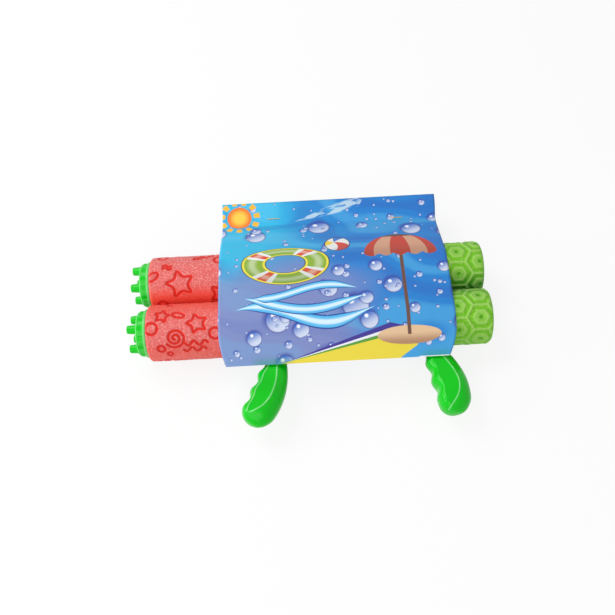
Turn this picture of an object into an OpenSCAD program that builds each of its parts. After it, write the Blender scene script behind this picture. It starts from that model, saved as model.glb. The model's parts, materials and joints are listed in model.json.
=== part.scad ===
// Double-barrel pump squirter with foam sleeves, two pistol grips and a folded card, in millimetres.
// It lies on its side. +X runs from the nozzles to the handle's end, +Y from the grips to the card's
// header, and +Z up off the table. The pieces are drawn with X zero at the front edge of the red foam,
// Y zero on the lower barrel's axis and Z zero on the plane of both axes, and are then moved together.

/* [Barrels] */
// Outside diameter of every foam sleeve
foam_d = 52; // [50:0.5:56]
// Gap between the upper and the lower foam sleeves
barrel_gap = 0.5; // [0.4:0.1:2]
// Length of the red foam, from the nozzle caps to the barrels' end collars
barrel_len = 205; // [200:1:208]
// Thickness of the foam round the barrel tubes and the handle cores
foam_t = 7; // [6:0.5:8]
// Wall of the barrel tubes and of the handle cores
tube_wall = 2; // [1.5:0.1:2.5]
// Rounding of the red foam's front edge
barrel_foam_edge_r = 3; // [1:0.5:5]

/* [Nozzle caps] */
// Step from the foam in to the cap's rim
cap_rim_inset = 3.5; // [2:0.5:4]
// Thickness of the rim
cap_rim_t = 2.6; // [2:0.1:4]
// Depth of the cap, from the foam to its front face
cap_depth = 9.8; // [9:0.1:12]
// Wall of the cap
cap_wall = 2.2; // [1.8:0.1:3]
// Number of grip ribs round the cap
cap_ribs = 14; // [10:1:18]
// Width of a grip rib
cap_rib_w = 5; // [3:0.5:6]
// Height of a grip rib
cap_rib_h = 0.8; // [0.5:0.1:1.2]
// Rounding of the cap's front edge
cap_edge_r = 1.5; // [0.5:0.1:1.6]
// Nozzles in each cap
nozzle_count = 4; // [3:1:6]
// Length of a nozzle
nozzle_len = 8.5; // [6:0.5:12]
// Diameter of a nozzle at its root
nozzle_root_d = 9; // [7:0.5:10]
// Diameter of a nozzle at its tip
nozzle_tip_d = 7.6; // [6:0.1:9]
// Diameter of the water jet's bore
jet_d = 2.2; // [1.5:0.1:3]
// Turn of the upper cap's first nozzle about its barrel
upper_cap_turn = 40; // [0:5:90]
// Turn of the lower cap's first nozzle about its barrel
lower_cap_turn = 10; // [0:5:90]
// Thickness of the flat seal inside a cap
seal_t = 1.4; // [1:0.1:2]

/* [Plunger] */
// Share of its barrel's bore that a plunger rod fills
rod_share = 0.53; // [0.48:0.01:0.57]
// Wall of a plunger rod
rod_wall = 2; // [1.5:0.1:3]
// Length of a piston's head, which holds the ring
piston_head_len = 7; // [5:0.5:10]
// Depth of the socket behind the head that holds the rod, and of the one in the end plug
rod_socket = 9; // [6:0.5:12]
// Wall of the rod's sockets
socket_wall = 2.4; // [2:0.1:3]
// Thickness of a piston ring
ring_t = 2.2; // [1.8:0.1:2.6]
// Water left between a pushed-in piston and the cap
dead_space = 3; // [1:0.5:5]
// Length of the end collar's plug inside the barrel
collar_plug_len = 11; // [8:0.5:14]
// Thickness of the end collar's flange
collar_flange_t = 4; // [3:0.5:5]
// Step from the foam in to the end collar's flange
collar_inset = 3; // [2:0.5:5]
// Length of the handle, from its front wall to the end of the green foam
handle_len = 102.5; // [100:0.5:110]
// Thickness of the walls that close the handle cores
core_end_t = 3.5; // [2.5:0.5:5]
// Depth of the end plug's face inside the green foam
plug_recess = 1.4; // [0.5:0.1:3]
// Rounding of the green foam's rear edge
handle_foam_edge_r = 5; // [2:0.5:6]

/* [Shell pattern] */
// Cells round the green foam
shell_rows = 7; // [6:1:9]
// Width of the raised border between cells
shell_ridge_w = 2.4; // [1.5:0.1:3.5]
// Depth of the groove inside a cell's border
shell_depth = 1.2; // [0.5:0.1:1.6]
// Diameter of the dimple in the middle of a cell
shell_dimple_d = 4; // [2:0.5:5]
// Place of the last row of cells ahead of the foam's rear end
shell_last_row = 10; // [8:0.5:14]
// Turn of the upper foam's cells about its axis
upper_shell_turn = 17; // [0:1:51]
// Turn of the lower foam's cells about its axis
lower_shell_turn = 30; // [0:1:51]

/* [Clamps and grips] */
// Length of a clamp along the barrels
clamp_len = 28; // [26:1:30]
// Step from the foam in to the clamp rings
clamp_inset = 1; // [0.5:0.5:3]
// Width of the bridge between the clamp rings
clamp_bridge_w = 30; // [24:1:34]
// Place of the front clamp's middle behind the red foam's front edge
front_clamp_x = 117; // [110:1:122]
// Place of the rear clamp's middle behind the handle's front wall
rear_clamp_x = 48.8; // [48:0.1:52]
// Forward lean of the front grip
front_lean = 23.5; // [15:0.5:28]
// Backward lean of the rear grip
rear_lean = 10; // [5:0.5:20]
// Length of the front grip below the lower barrel
front_grip_len = 71.5; // [66:0.5:78]
// Length of the rear grip below the lower barrel
rear_grip_len = 71.5; // [66:0.5:78]
// Depth of a grip from fingers to palm at its widest
grip_w = 31; // [27:0.5:34]
// Hollow of the front grip's palm side at the clamp
front_palm_hollow = 14; // [8:0.5:18]
// Hollow of the rear grip's palm side at the clamp
rear_palm_hollow = 16; // [8:0.5:18]
// Thickness of a grip at its widest
grip_t = 25; // [20:0.5:28]
// Thickness of a grip where it leaves the card
neck_t = 17; // [12:0.5:18]
// Finger crests on a grip
finger_crests = 3; // [2:1:3]
// Distance from one finger crest to the next
finger_pitch = 17.4; // [15:0.2:18]
// Depth of a finger groove
finger_depth = 3.4; // [1:0.2:4.4]
// Place of the front grip's first finger crest below the lower barrel
front_first_crest = 25; // [18:0.5:28]
// Place of the rear grip's first finger crest below the lower barrel
rear_first_crest = 20; // [15:0.5:28]

/* [Screws] */
// Diameter of a grip screw
screw_d = 3; // [2.5:0.1:3.5]
// Diameter of a grip screw's head
screw_head_d = 5.6; // [5:0.1:6.5]
// Height of a grip screw's head
screw_head_h = 2; // [1.5:0.1:2.5]
// Depth of the screw heads below the grip's surface
screw_sink = 1.5; // [0.5:0.1:2.5]
// Length of screw thread past the parting plane
screw_bite = 5; // [3:0.5:6]

/* [Card] */
// Reach of the card past the rear clamp
card_overhang = 4.8; // [1:0.2:8]
// Place of the card's front edge behind the red foam's front edge
card_x = 66; // [62:1:70]
// Thickness of the card
card_t = 0.6; // [0.4:0.1:0.8]
// Gap between the card and the foam
card_gap = 0.4; // [0.3:0.1:0.8]
// Distance from the upper barrel's axis to the line where the card's panels meet
header_start = 61; // [56:1:66]
// Height of the header above that line
header_h = 27; // [20:1:36]
// Lean of the header towards the front panel
header_lean = 12; // [0:1:20]
// Distance from the lower barrel's axis down to the front crease of the bottom fold
fold_drop = 43.5; // [41:0.5:48]
// Height of the front crease over the plane of the barrels
fold_front_z = 11; // [10.5:0.5:14]
// Distance from the lower barrel's axis down to the back crease of the bottom fold
fold_back_drop = 31; // [30:0.5:34]
// Depth of the back crease under the plane of the barrels
fold_back_z = 11; // [10.5:0.5:13]
// Clearance round a grip in the bottom fold
slot_gap = 1; // [0.6:0.1:1.5]
// Inset of the card's lower front corner
front_corner_inset = 6; // [2:0.5:8]
// Inset of the card's lower rear corner
rear_corner_inset = 8; // [2:0.5:10]
// Height of the rounding at the card's lower corners
corner_rise = 24; // [15:1:30]
// Width of a staple
staple_w = 11; // [8:0.5:14]
// Diameter of the staple wire
staple_wire_d = 0.7; // [0.5:0.1:0.9]
// Height of the front staple above the line where the panels meet
front_staple_rise = 8.5; // [3:0.5:12]
// Height of the rear staple above the line where the panels meet
rear_staple_rise = 3; // [3:0.5:12]

/* [Hidden] */
// Every true round has this many sides in the preview
$fn = 64;
// Length by which a cut runs past the face that it opens
overrun = 1;
// Clearance of pieces that are pushed or screwed together
fit = 0.1;
// Running clearance between the plunger and the barrel, on the radius
run_gap = 0.35;
// Gap between pieces that lie end to end
end_gap = 0.4;
// Gap between the pushed-in handle and the end collars
rest_gap = 1;

foam_r = foam_d / 2;
tube_r = foam_r - foam_t;
bore_r = tube_r - tube_wall;
rod_r = rod_share * bore_r;
upper_y = foam_d + barrel_gap;
lower_y = 0;

// Places along the barrels
cap_face_x = -cap_depth;
cap_inside_x = cap_face_x + cap_wall;
tube_front_x = cap_inside_x + seal_t;
nozzle_tip_x = cap_face_x - nozzle_len;
collar_x = barrel_len + end_gap;
handle_x = collar_x + collar_flange_t + rest_gap;
handle_end_x = handle_x + handle_len;
plug_face_x = handle_end_x - plug_recess;
core_end_x = plug_face_x - core_end_t;
rear_clamp_middle_x = handle_x + rear_clamp_x;
piston_x = cap_inside_x + dead_space;
rod_x = piston_x + piston_head_len;
front_clamp_front_x = front_clamp_x - clamp_len / 2;
front_clamp_back_x = front_clamp_x + clamp_len / 2;
rear_clamp_front_x = rear_clamp_middle_x - clamp_len / 2;
rear_clamp_back_x = rear_clamp_middle_x + clamp_len / 2;

// Rings that step in from the foam, and the ring that the nozzles stand on
cap_rim_r = foam_r - cap_rim_inset;
cap_rib_r = cap_rim_r - cap_rim_t / 2;
cap_wall_r = cap_rib_r - cap_rib_h;
nozzle_ring_r = cap_wall_r - cap_edge_r - end_gap - nozzle_root_d / 2;
collar_flange_r = foam_r - collar_inset;
clamp_r = foam_r - clamp_inset;

// The pistons' rings and the rods' sockets
piston_r = bore_r - run_gap;
ring_middle_r = piston_r - ring_t / 2;
socket_r = rod_r + fit + socket_wall;

// The cells of the shell pattern
shell_side = PI * foam_d / shell_rows / sqrt(3);
shell_pitch_x = shell_side * 3 / 2;
shell_half_turn = 180 / shell_rows;
shell_ridge_turn = shell_ridge_w / (PI * foam_d) * 360;
shell_outer_r = foam_r * sin(shell_half_turn - shell_ridge_turn / 2) / cos(30);
shell_inner_share = 0.56;

// The card's section
card_r = foam_r + card_gap + card_t;
card_end_x = rear_clamp_back_x + card_overhang;
card_w = card_end_x - card_x;
header_y = upper_y + header_start;
header_top_y = header_y + header_h * cos(header_lean) + card_t * sin(header_lean);
fold_front = [-fold_drop, fold_front_z];
fold_back = [-fold_back_drop, -fold_back_z];
fold_normal = [-fold_front_z - fold_back_z, fold_back_drop - fold_drop] / norm(fold_front - fold_back);
slot_back_z = -neck_t / 2 - slot_gap;
slot_h = fold_front_z - 2 * card_t - slot_back_z;
corner_flat_share = 1.4;
// A tapering panel starts this share of the radius out, so it leaves the round at a slight angle
touch_share = 0.998;
staple_front_share = 0.24;
staple_rear_share = 0.82;

// The grips' shape, seen from the side: down is away from the barrels, depth runs from the fingers
// towards the palm
grip_finger_share = 0.132;
grip_finger_line = -grip_w * grip_finger_share;
grip_palm_depth = grip_w + grip_finger_line;
grip_middle = (grip_finger_line + grip_palm_depth) / 2;
grip_palm_down_share = 0.62;
grip_plateau_finger_share = 0.21;
grip_plateau_palm_share = 0.32;
grip_plateau_follow_share = 0.33;
// The plateau narrows from this place to a round lower end on its finger side
grip_plateau_turn_share = 0.58;
front_plateau_end_share = 0.905;
rear_plateau_end_share = 0.97;
grip_end_share = 0.19;
grip_end_power = 2.25;
grip_neck_end_share = 0.3;
grip_full_share = 0.65;
grip_root_rise = 4;
least_flank_w = 0.5;
front_root_share = 0.15;
rear_root_share = 0.33;
front_root_x = front_clamp_x - front_root_share * clamp_len;
rear_root_x = rear_clamp_middle_x - rear_root_share * clamp_len;
// What sets one grip apart from the other: its length, its first finger crest, its palm's hollow and the
// place where its plateau ends
front_shape = [front_grip_len, front_first_crest, front_palm_hollow, front_plateau_end_share];
rear_shape = [rear_grip_len, rear_first_crest, rear_palm_hollow, rear_plateau_end_share];
// Turn of the flanks between the parting line and the plateau's crisp edge, and at the plateau's end, where
// that edge has faded out
crisp_turn = 62;
faded_turn = 90;
flank_steps = 4;
station_step = 2;
end_turn_step = 9;

// The saddle under a clamp, into which the grip's neck runs, and the places of the screws
saddle_depth = 5;
clamp_saddle_drop = foam_r + saddle_depth;
bridge_screw_share = 0.25;
neck_screw_drop = foam_r + saddle_depth / 2;
palm_screw_share = 0.62;
palm_screw_depth = 10;

// The whole part is moved so that the origin is under the middle of its outer box
lowest_y = min(grip_lowest(front_shape, front_lean), grip_lowest(rear_shape, -rear_lean));
middle_x = (nozzle_tip_x + handle_end_x) / 2;
middle_y = (lowest_y + header_top_y) / 2;
rest_z = card_r;

// Moves the finished assembly over the part's origin
module placed() {
    translate([-middle_x, -middle_y, rest_z]) children();
}

// Stands a shape that is drawn along +Z along a barrel's axis, starting at x
module on_axis(y, x) {
    translate([x, y, 0]) rotate([0, 90, 0]) children();
}

// A plain tube along a barrel's axis
module tube(y, x, end_x, outer_r, inner_r) {
    on_axis(y, x) difference() {
        cylinder(r = outer_r, h = end_x - x);
        translate([0, 0, -overrun]) cylinder(r = inner_r, h = end_x - x + 2 * overrun);
    }
}

// What a corner of a turned profile loses to a rounding, with its centre at the origin
module corner_waste(r) {
    difference() {
        square(r + overrun);
        circle(r);
    }
}

// A foam sleeve with a rounded front or rear edge, where front_r or rear_r isn't zero
module foam_sleeve(y, x, end_x, front_r, rear_r) {
    length = end_x - x;
    on_axis(y, x) rotate_extrude() difference() {
        translate([tube_r + fit, 0]) square([foam_r - tube_r - fit, length]);
        if (front_r > 0) translate([foam_r - front_r, front_r]) mirror([0, 1]) corner_waste(front_r);
        if (rear_r > 0) translate([foam_r - rear_r, length - rear_r]) corner_waste(rear_r);
    }
}

// The grooves of the shell pattern: six-sided rings with a dimple inside, sunk into the foam
module shell_grooves(y, x, end_x, turn) {
    columns = ceil((handle_end_x - x) / shell_pitch_x);
    for (column = [0 : columns]) {
        cell_x = handle_end_x - shell_last_row - column * shell_pitch_x;
        if (cell_x > x - shell_side / 2 && cell_x < end_x + shell_side / 2)
            for (row = [0 : shell_rows - 1])
                translate([cell_x, y, 0]) rotate([turn + (2 * row + column % 2) * shell_half_turn, 0, 0])
                    shell_cell();
    }
}
module shell_cell() {
    root = (foam_r - shell_depth) * cos(shell_half_turn) - fit;
    difference() {
        translate([0, 0, root]) cylinder(r = shell_outer_r, h = foam_r + overrun - root, $fn = 6);
        translate([0, 0, root - overrun])
            cylinder(r = shell_outer_r * shell_inner_share, h = foam_r + 3 * overrun - root, $fn = 6);
        translate([-foam_d, 0, 0]) rotate([0, 90, 0]) cylinder(r = foam_r - shell_depth, h = 2 * foam_d);
    }
    translate([0, 0, foam_r - shell_depth]) cylinder(d = shell_dimple_d, h = shell_depth + overrun);
}
module handle_foam(y, x, end_x, rear_r, turn) {
    color("yellowgreen") difference() {
        foam_sleeve(y, x, end_x, 0, rear_r);
        shell_grooves(y, x, end_x, turn);
    }
}

// A screw cap: a rim and ribbed wall over the tube's end, a front wall and a ring of tapered nozzles
module nozzle_cap(y, turn) {
    rib_x = cap_face_x + cap_edge_r + end_gap;
    color("limegreen") difference() {
        union() {
            on_axis(y, cap_face_x) rotate_extrude() difference() {
                square([cap_wall_r, cap_depth - end_gap]);
                translate([cap_wall_r - cap_edge_r, cap_edge_r]) mirror([0, 1]) corner_waste(cap_edge_r);
            }
            on_axis(y, -cap_rim_t - end_gap) cylinder(r = cap_rim_r, h = cap_rim_t);
            for (rib = [0 : cap_ribs - 1])
                translate([rib_x, y, 0]) rotate([rib * 360 / cap_ribs, 0, 0])
                    translate([0, -cap_rib_w / 2, cap_wall_r - cap_rib_h])
                        cube([-cap_rim_t / 2 - rib_x, cap_rib_w, 2 * cap_rib_h]);
            nozzle_ring(y, turn) translate([-nozzle_len, 0, 0]) rotate([0, 90, 0])
                cylinder(d1 = nozzle_tip_d, d2 = nozzle_root_d, h = nozzle_len + cap_wall / 2);
        }
        on_axis(y, cap_inside_x) cylinder(r = tube_r + fit, h = cap_depth + overrun);
        nozzle_ring(y, turn) translate([-nozzle_len - overrun, 0, 0]) rotate([0, 90, 0])
            cylinder(d = jet_d, h = nozzle_len + cap_wall + 2 * overrun);
    }
}
module nozzle_ring(y, turn) {
    for (nozzle = [0 : nozzle_count - 1])
        translate([cap_face_x, y, 0]) rotate([turn + nozzle * 360 / nozzle_count, 0, 0])
            translate([0, 0, nozzle_ring_r]) children();
}
module nozzle_seal(y) {
    color("dimgray") tube(y, cap_inside_x, tube_front_x, tube_r, bore_r);
}
module barrel_tube(y) {
    color("ivory") tube(y, tube_front_x, barrel_len, tube_r, bore_r);
}

// The collar that closes a barrel: a plug in the tube and a flange on its end, bored for the rod
module end_collar(y) {
    color("limegreen") difference() {
        union() {
            on_axis(y, barrel_len - collar_plug_len)
                cylinder(r = bore_r - fit, h = collar_plug_len + end_gap + collar_flange_t);
            on_axis(y, collar_x) cylinder(r = collar_flange_r, h = collar_flange_t);
        }
        on_axis(y, barrel_len - collar_plug_len - overrun)
            cylinder(r = rod_r + run_gap, h = collar_plug_len + end_gap + collar_flange_t + 2 * overrun);
    }
}

// A plunger: the rod, the piston with its ring, and the handle core with its end plug
module plunger_rod(y) {
    color("white") tube(y, rod_x, core_end_x, rod_r, rod_r - rod_wall);
}
module piston(y) {
    color("white") on_axis(y, piston_x) rotate_extrude() difference() {
        union() {
            square([piston_r, piston_head_len]);
            square([socket_r, piston_head_len + rod_socket]);
        }
        translate([piston_r - ring_t, (piston_head_len - ring_t) / 2 - fit])
            square([ring_t + overrun, ring_t + 2 * fit]);
        translate([0, piston_head_len]) square([rod_r + fit, rod_socket + overrun]);
    }
}
module piston_ring(y) {
    color("black") on_axis(y, piston_x + piston_head_len / 2) rotate_extrude()
        translate([ring_middle_r, 0]) circle(d = ring_t);
}
module handle_core(y) {
    color("ivory") difference() {
        on_axis(y, handle_x) cylinder(r = tube_r, h = core_end_x - handle_x);
        on_axis(y, handle_x + core_end_t) cylinder(r = bore_r, h = handle_len);
        on_axis(y, handle_x - overrun) cylinder(r = rod_r + fit, h = core_end_t + 2 * overrun);
    }
}
module handle_plug(y) {
    color("limegreen") {
        on_axis(y, core_end_x) cylinder(r = tube_r, h = core_end_t);
        tube(y, core_end_x - rod_socket, core_end_x, socket_r, rod_r + fit);
        tube(y, core_end_x - rod_socket, core_end_x, bore_r - fit, bore_r - fit - socket_wall);
    }
}

// Outline of a grip at a place below the barrel: finger side and palm side at the parting line, and
// the edges of the raised plateau
function grip_length(shape) = shape[0];
function first_crest(shape) = shape[1];
function palm_hollow(shape) = shape[2];
function plateau_end_share(shape) = shape[3];
function smooth(t) = let(c = min(max(t, 0), 1)) c * c * (3 - 2 * c);
function grip_end_start(shape) = grip_length(shape) * (1 - grip_end_share);
function end_round(down, shape) =
    let(t = (down - grip_end_start(shape)) / (grip_length(shape) - grip_end_start(shape)))
    pow(max(0, 1 - pow(max(t, 0), grip_end_power)), 1 / grip_end_power);
function finger_edge(down, shape) =
    let(past_crest = down - first_crest(shape),
        groove = past_crest < -finger_pitch / 2 ? 1
            : past_crest > (finger_crests - 1) * finger_pitch ? 0
            : (1 - cos(360 * past_crest / finger_pitch)) / 2)
    grip_finger_line + finger_depth * groove;
function palm_edge(down, shape) =
    grip_palm_depth - palm_hollow(shape)
        * pow((down / grip_length(shape) - grip_palm_down_share) / grip_palm_down_share, 2);
function towards_middle(edge, keep) = grip_middle + (edge - grip_middle) * keep;
function grip_thickness(down, shape) =
    let(t = (down / grip_length(shape) - grip_neck_end_share) / (grip_full_share - grip_neck_end_share))
    neck_t / 2 + (grip_t - neck_t) / 2 * smooth(t);

// 0 where the plateau has its full width, and 1 from its round lower end on
function plateau_run(down, shape) =
    let(t = (down / grip_length(shape) - grip_plateau_turn_share)
        / (plateau_end_share(shape) - grip_plateau_turn_share))
    min(max(t, 0), 1);

// One cross-section of a grip's half, from the finger side over the plateau to the palm side
function grip_section(down, shape) =
    let(keep = end_round(down, shape),
        finger_x = finger_edge(down, shape),
        palm_x = palm_edge(down, shape),
        plateau_line = grip_finger_line + grip_plateau_finger_share * grip_w,
        plateau_finger_x = plateau_line + (finger_x - grip_finger_line) * grip_plateau_follow_share,
        run = plateau_run(down, shape),
        widest_x = min(palm_x - least_flank_w,
            max(palm_x - grip_plateau_palm_share * grip_w, plateau_line + finger_depth)),
        plateau_palm_x = plateau_finger_x
            + max(least_flank_w, (widest_x - plateau_finger_x) * sqrt(1 - run * run)),
        flank_turn = crisp_turn + (faded_turn - crisp_turn) * smooth(run),
        finger = towards_middle(finger_x, keep),
        palm = towards_middle(palm_x, keep),
        plateau_finger = towards_middle(plateau_finger_x, keep),
        plateau_palm = towards_middle(plateau_palm_x, keep),
        top = grip_thickness(down, shape) * keep)
    concat(
        [for (k = [0 : flank_steps]) flank_point(down, finger, plateau_finger, top, flank_turn, k)],
        [for (k = [flank_steps : -1 : 0]) flank_point(down, palm, plateau_palm, top, flank_turn, k)]);
function flank_point(down, edge, plateau, top, flank_turn, k) =
    let(turn = flank_turn * k / flank_steps,
        inset = (1 - cos(turn)) / (1 - cos(flank_turn)))
    [edge + (plateau - edge) * inset, -down, top * sin(turn) / sin(flank_turn)];

// Places of the cross-sections: a long neck, even steps over the fingers, and closing steps round the end
function grip_stations(shape) =
    let(end_start = grip_end_start(shape), neck_end = first_crest(shape) - finger_pitch / 2)
    concat(
        [-grip_root_rise, 0, neck_end / 2],
        [for (down = [neck_end : station_step : end_start - station_step / 2]) down],
        [for (turn = [0 : end_turn_step : 90 - end_turn_step / 2])
            end_start + (grip_length(shape) - end_start) * sin(turn)]);
function grip_points(shape) = [for (down = grip_stations(shape)) each grip_section(down, shape)];
function leaned(point, lean) =
    [point[0] * cos(lean) + point[1] * sin(lean), point[1] * cos(lean) - point[0] * sin(lean)];
function grip_lowest(shape, lean) = min([for (point = grip_points(shape)) leaned(point, lean)[1]]) - foam_r;

// Half of a grip, above the parting plane, skinned over its cross-sections
module grip_half(shape) {
    section = 2 * (flank_steps + 1);
    stations = len(grip_stations(shape));
    last = (stations - 1) * section;
    polyhedron(
        points = grip_points(shape),
        faces = concat(
            [for (row = [0 : stations - 2]) for (k = [0 : section - 1])
                let(a = row * section + k, b = row * section + (k + 1) % section)
                each [[a, b, b + section], [a, b + section, a + section]]],
            [[for (k = [section - 1 : -1 : 0]) k]],
            [[for (k = [0 : section - 1]) last + k]]));
}

// One moulded half of a clamp and its grip. side is 1 for the half over the parting plane and -1 below
module grip_moulding(middle_x, root_x, shape, lean, side) {
    x = middle_x - clamp_len / 2;
    color("limegreen") difference() {
        union() {
            intersection() {
                union() {
                    for (y = [lower_y, upper_y]) on_axis(y, x) cylinder(r = clamp_r, h = clamp_len);
                    translate([x, lower_y, -clamp_bridge_w / 2])
                        cube([clamp_len, upper_y - lower_y, clamp_bridge_w]);
                    translate([x, -clamp_saddle_drop, fit - neck_t / 2])
                        cube([clamp_len, clamp_saddle_drop, neck_t - 2 * fit]);
                }
                translate([x - overrun, -foam_d, side > 0 ? 0 : -foam_d])
                    cube([clamp_len + 2 * overrun, upper_y + 2 * foam_d, foam_d]);
            }
            mirror([0, 0, side > 0 ? 0 : 1])
                translate([root_x, -foam_r, 0]) rotate(-lean) grip_half(shape);
        }
        for (y = [lower_y, upper_y]) on_axis(y, x - foam_d)
            cylinder(r = tube_r + fit, h = clamp_len + 2 * foam_d);
        screw_places(middle_x, root_x, shape, lean) screw_hole();
    }
}

// The screws' places on a grip: two in the bridge, one under the clamp and one in the palm. Each is at the
// grip's surface, and hands on how far the screw reaches from there
module screw_places(middle_x, root_x, shape, lean) {
    palm_down = grip_length(shape) * palm_screw_share;
    palm_z = grip_thickness(palm_down, shape);
    for (side = [-1, 1])
        translate([middle_x + side * bridge_screw_share * clamp_len, upper_y / 2, -clamp_bridge_w / 2])
            let($reach = clamp_bridge_w / 2 + screw_bite) children();
    translate([middle_x, -neck_screw_drop, -neck_t / 2]) let($reach = neck_t / 2 + screw_bite) children();
    translate([root_x, -foam_r, -palm_z]) rotate(-lean)
        translate([palm_screw_depth, -palm_down, 0]) let($reach = palm_z + screw_bite) children();
}
module screw_hole() {
    translate([0, 0, -overrun])
        cylinder(d = screw_head_d + 2 * fit, h = screw_sink + screw_head_h + overrun);
    cylinder(d = screw_d + 2 * fit, h = $reach + fit);
}
module grip_screw() {
    translate([0, 0, screw_sink]) {
        cylinder(d = screw_head_d, h = screw_head_h);
        cylinder(d = screw_d, h = $reach - screw_sink);
    }
}

module front_grip(side) {
    grip_moulding(front_clamp_x, front_root_x, front_shape, front_lean, side);
}
module rear_grip(side) {
    grip_moulding(rear_clamp_middle_x, rear_root_x, rear_shape, -rear_lean, side);
}

// Outward direction of the panel that touches a barrel's round and ends at a point below it
function panel_normal(point) =
    let(turn = atan2(abs(point[1]), point[0]) - acos(card_r / norm(point)))
    [cos(turn), sign(point[1]) * sin(turn)];
// Where two panels meet that lie at distances from the lower barrel's axis along their normals
function panels_meet(normal_a, distance_a, normal_b, distance_b) =
    let(turned = cross(normal_a, normal_b))
    [distance_a * normal_b[1] - distance_b * normal_a[1],
     distance_b * normal_a[0] - distance_a * normal_b[0]] / turned;

// Section of the card's sleeve at a distance inside its outer face, in the YZ plane: both barrels'
// rounds, the flat panels between them, the taper up to the header and the taper down to the fold
module card_section(inside) {
    r = card_r - inside;
    touch = touch_share * r;
    tip = header_start * r / card_r;
    tip_turn = acos(r / tip);
    front = panel_normal(fold_front);
    back = panel_normal(fold_back);
    fold_distance = fold_normal * fold_front - inside;
    for (y = [lower_y, upper_y]) translate([y, 0]) circle(r);
    translate([lower_y, -r]) square([upper_y - lower_y, 2 * r]);
    translate([upper_y, 0]) polygon([[0, 0], touch * [cos(tip_turn), sin(tip_turn)], [tip, 0],
        touch * [cos(tip_turn), -sin(tip_turn)]]);
    polygon([[lower_y, 0], touch * front, panels_meet(front, r, fold_normal, fold_distance),
        panels_meet(back, r, fold_normal, fold_distance), touch * back]);
}
// Draws a YZ section along +X
module along_card(x, length) {
    translate([x, 0, 0]) rotate([90, 0, 90]) linear_extrude(length) children();
}
// What the bowed lower corner of the card loses, with the corner at the origin and the card at +X. The bow
// runs from the bottom fold to the side edge, and meets that edge at a slight angle
module card_corner_waste(inset) {
    chord = norm([inset, corner_rise]);
    r = corner_flat_share * chord * chord / (2 * inset);
    reach = sqrt(r * r - chord * chord / 4);
    translate([0, 0, -foam_d]) linear_extrude(2 * foam_d) difference() {
        translate([-overrun, -overrun]) square([inset + overrun, corner_rise + overrun]);
        translate([inset / 2 + reach * corner_rise / chord, corner_rise / 2 + reach * inset / chord])
            circle(r, $fn = 4 * $fn);
    }
}
module header_at() {
    translate([0, header_y, 0]) rotate([header_lean, 0, 0]) children();
}
module card_sleeve() {
    color("deepskyblue") difference() {
        union() {
            difference() {
                along_card(card_x, card_w) card_section(0);
                along_card(card_x - overrun, card_w + 2 * overrun) card_section(card_t);
            }
            header_at() translate([card_x, -card_t, -card_t]) cube([card_w, header_h + card_t, 2 * card_t]);
        }
        translate([front_clamp_front_x - slot_gap, -fold_drop - overrun, slot_back_z])
            cube([clamp_len + 2 * slot_gap, fold_drop - foam_r, slot_h]);
        translate([rear_clamp_front_x - slot_gap, -fold_drop - overrun, slot_back_z])
            cube([card_w, fold_drop - foam_r, slot_h]);
        translate([card_x, -fold_drop, 0]) card_corner_waste(front_corner_inset);
        translate([card_end_x, -fold_drop, 0]) mirror([1, 0, 0]) card_corner_waste(rear_corner_inset);
        staple_places() for (leg = [-staple_w / 2, staple_w / 2])
            translate([leg, 0, -card_t - overrun])
                cylinder(d = staple_wire_d + 2 * fit, h = 2 * card_t + 2 * overrun);
    }
}

// Two staples through the header: a crown in front, and two legs that are bent in behind
module staple_places() {
    header_at() {
        translate([card_x + staple_front_share * card_w, front_staple_rise, 0]) children();
        translate([card_x + staple_rear_share * card_w, rear_staple_rise, 0]) children();
    }
}
module staple() {
    wire_z = card_t + fit + staple_wire_d / 2;
    bent_leg = staple_w / 2 - staple_wire_d;
    translate([-(staple_w + staple_wire_d) / 2, 0, wire_z]) rotate([0, 90, 0])
        cylinder(d = staple_wire_d, h = staple_w + staple_wire_d);
    for (side = [-1, 1]) {
        translate([side * staple_w / 2, 0, -wire_z]) cylinder(d = staple_wire_d, h = 2 * wire_z);
        translate([side * staple_w / 2, 0, -wire_z]) rotate([0, -side * 90, 0])
            cylinder(d = staple_wire_d, h = bent_leg);
    }
}

// The foam sleeves ahead of and behind each clamp
module front_foam(y) {
    color("salmon") foam_sleeve(y, 0, front_clamp_front_x - end_gap, barrel_foam_edge_r, 0);
}
module rear_foam(y) {
    color("salmon") foam_sleeve(y, front_clamp_back_x + end_gap, barrel_len, 0, 0);
}
module handle_front_foam(y, turn) {
    handle_foam(y, handle_x, rear_clamp_front_x - end_gap, 0, turn);
}
module handle_rear_foam(y, turn) {
    handle_foam(y, rear_clamp_back_x + end_gap, handle_end_x, handle_foam_edge_r, turn);
}
module front_grip_screws() {
    color("silver") screw_places(front_clamp_x, front_root_x, front_shape, front_lean) grip_screw();
}
module rear_grip_screws() {
    color("silver") screw_places(rear_clamp_middle_x, rear_root_x, rear_shape, -rear_lean) grip_screw();
}
module card_staples() {
    color("goldenrod") staple_places() staple();
}

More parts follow.
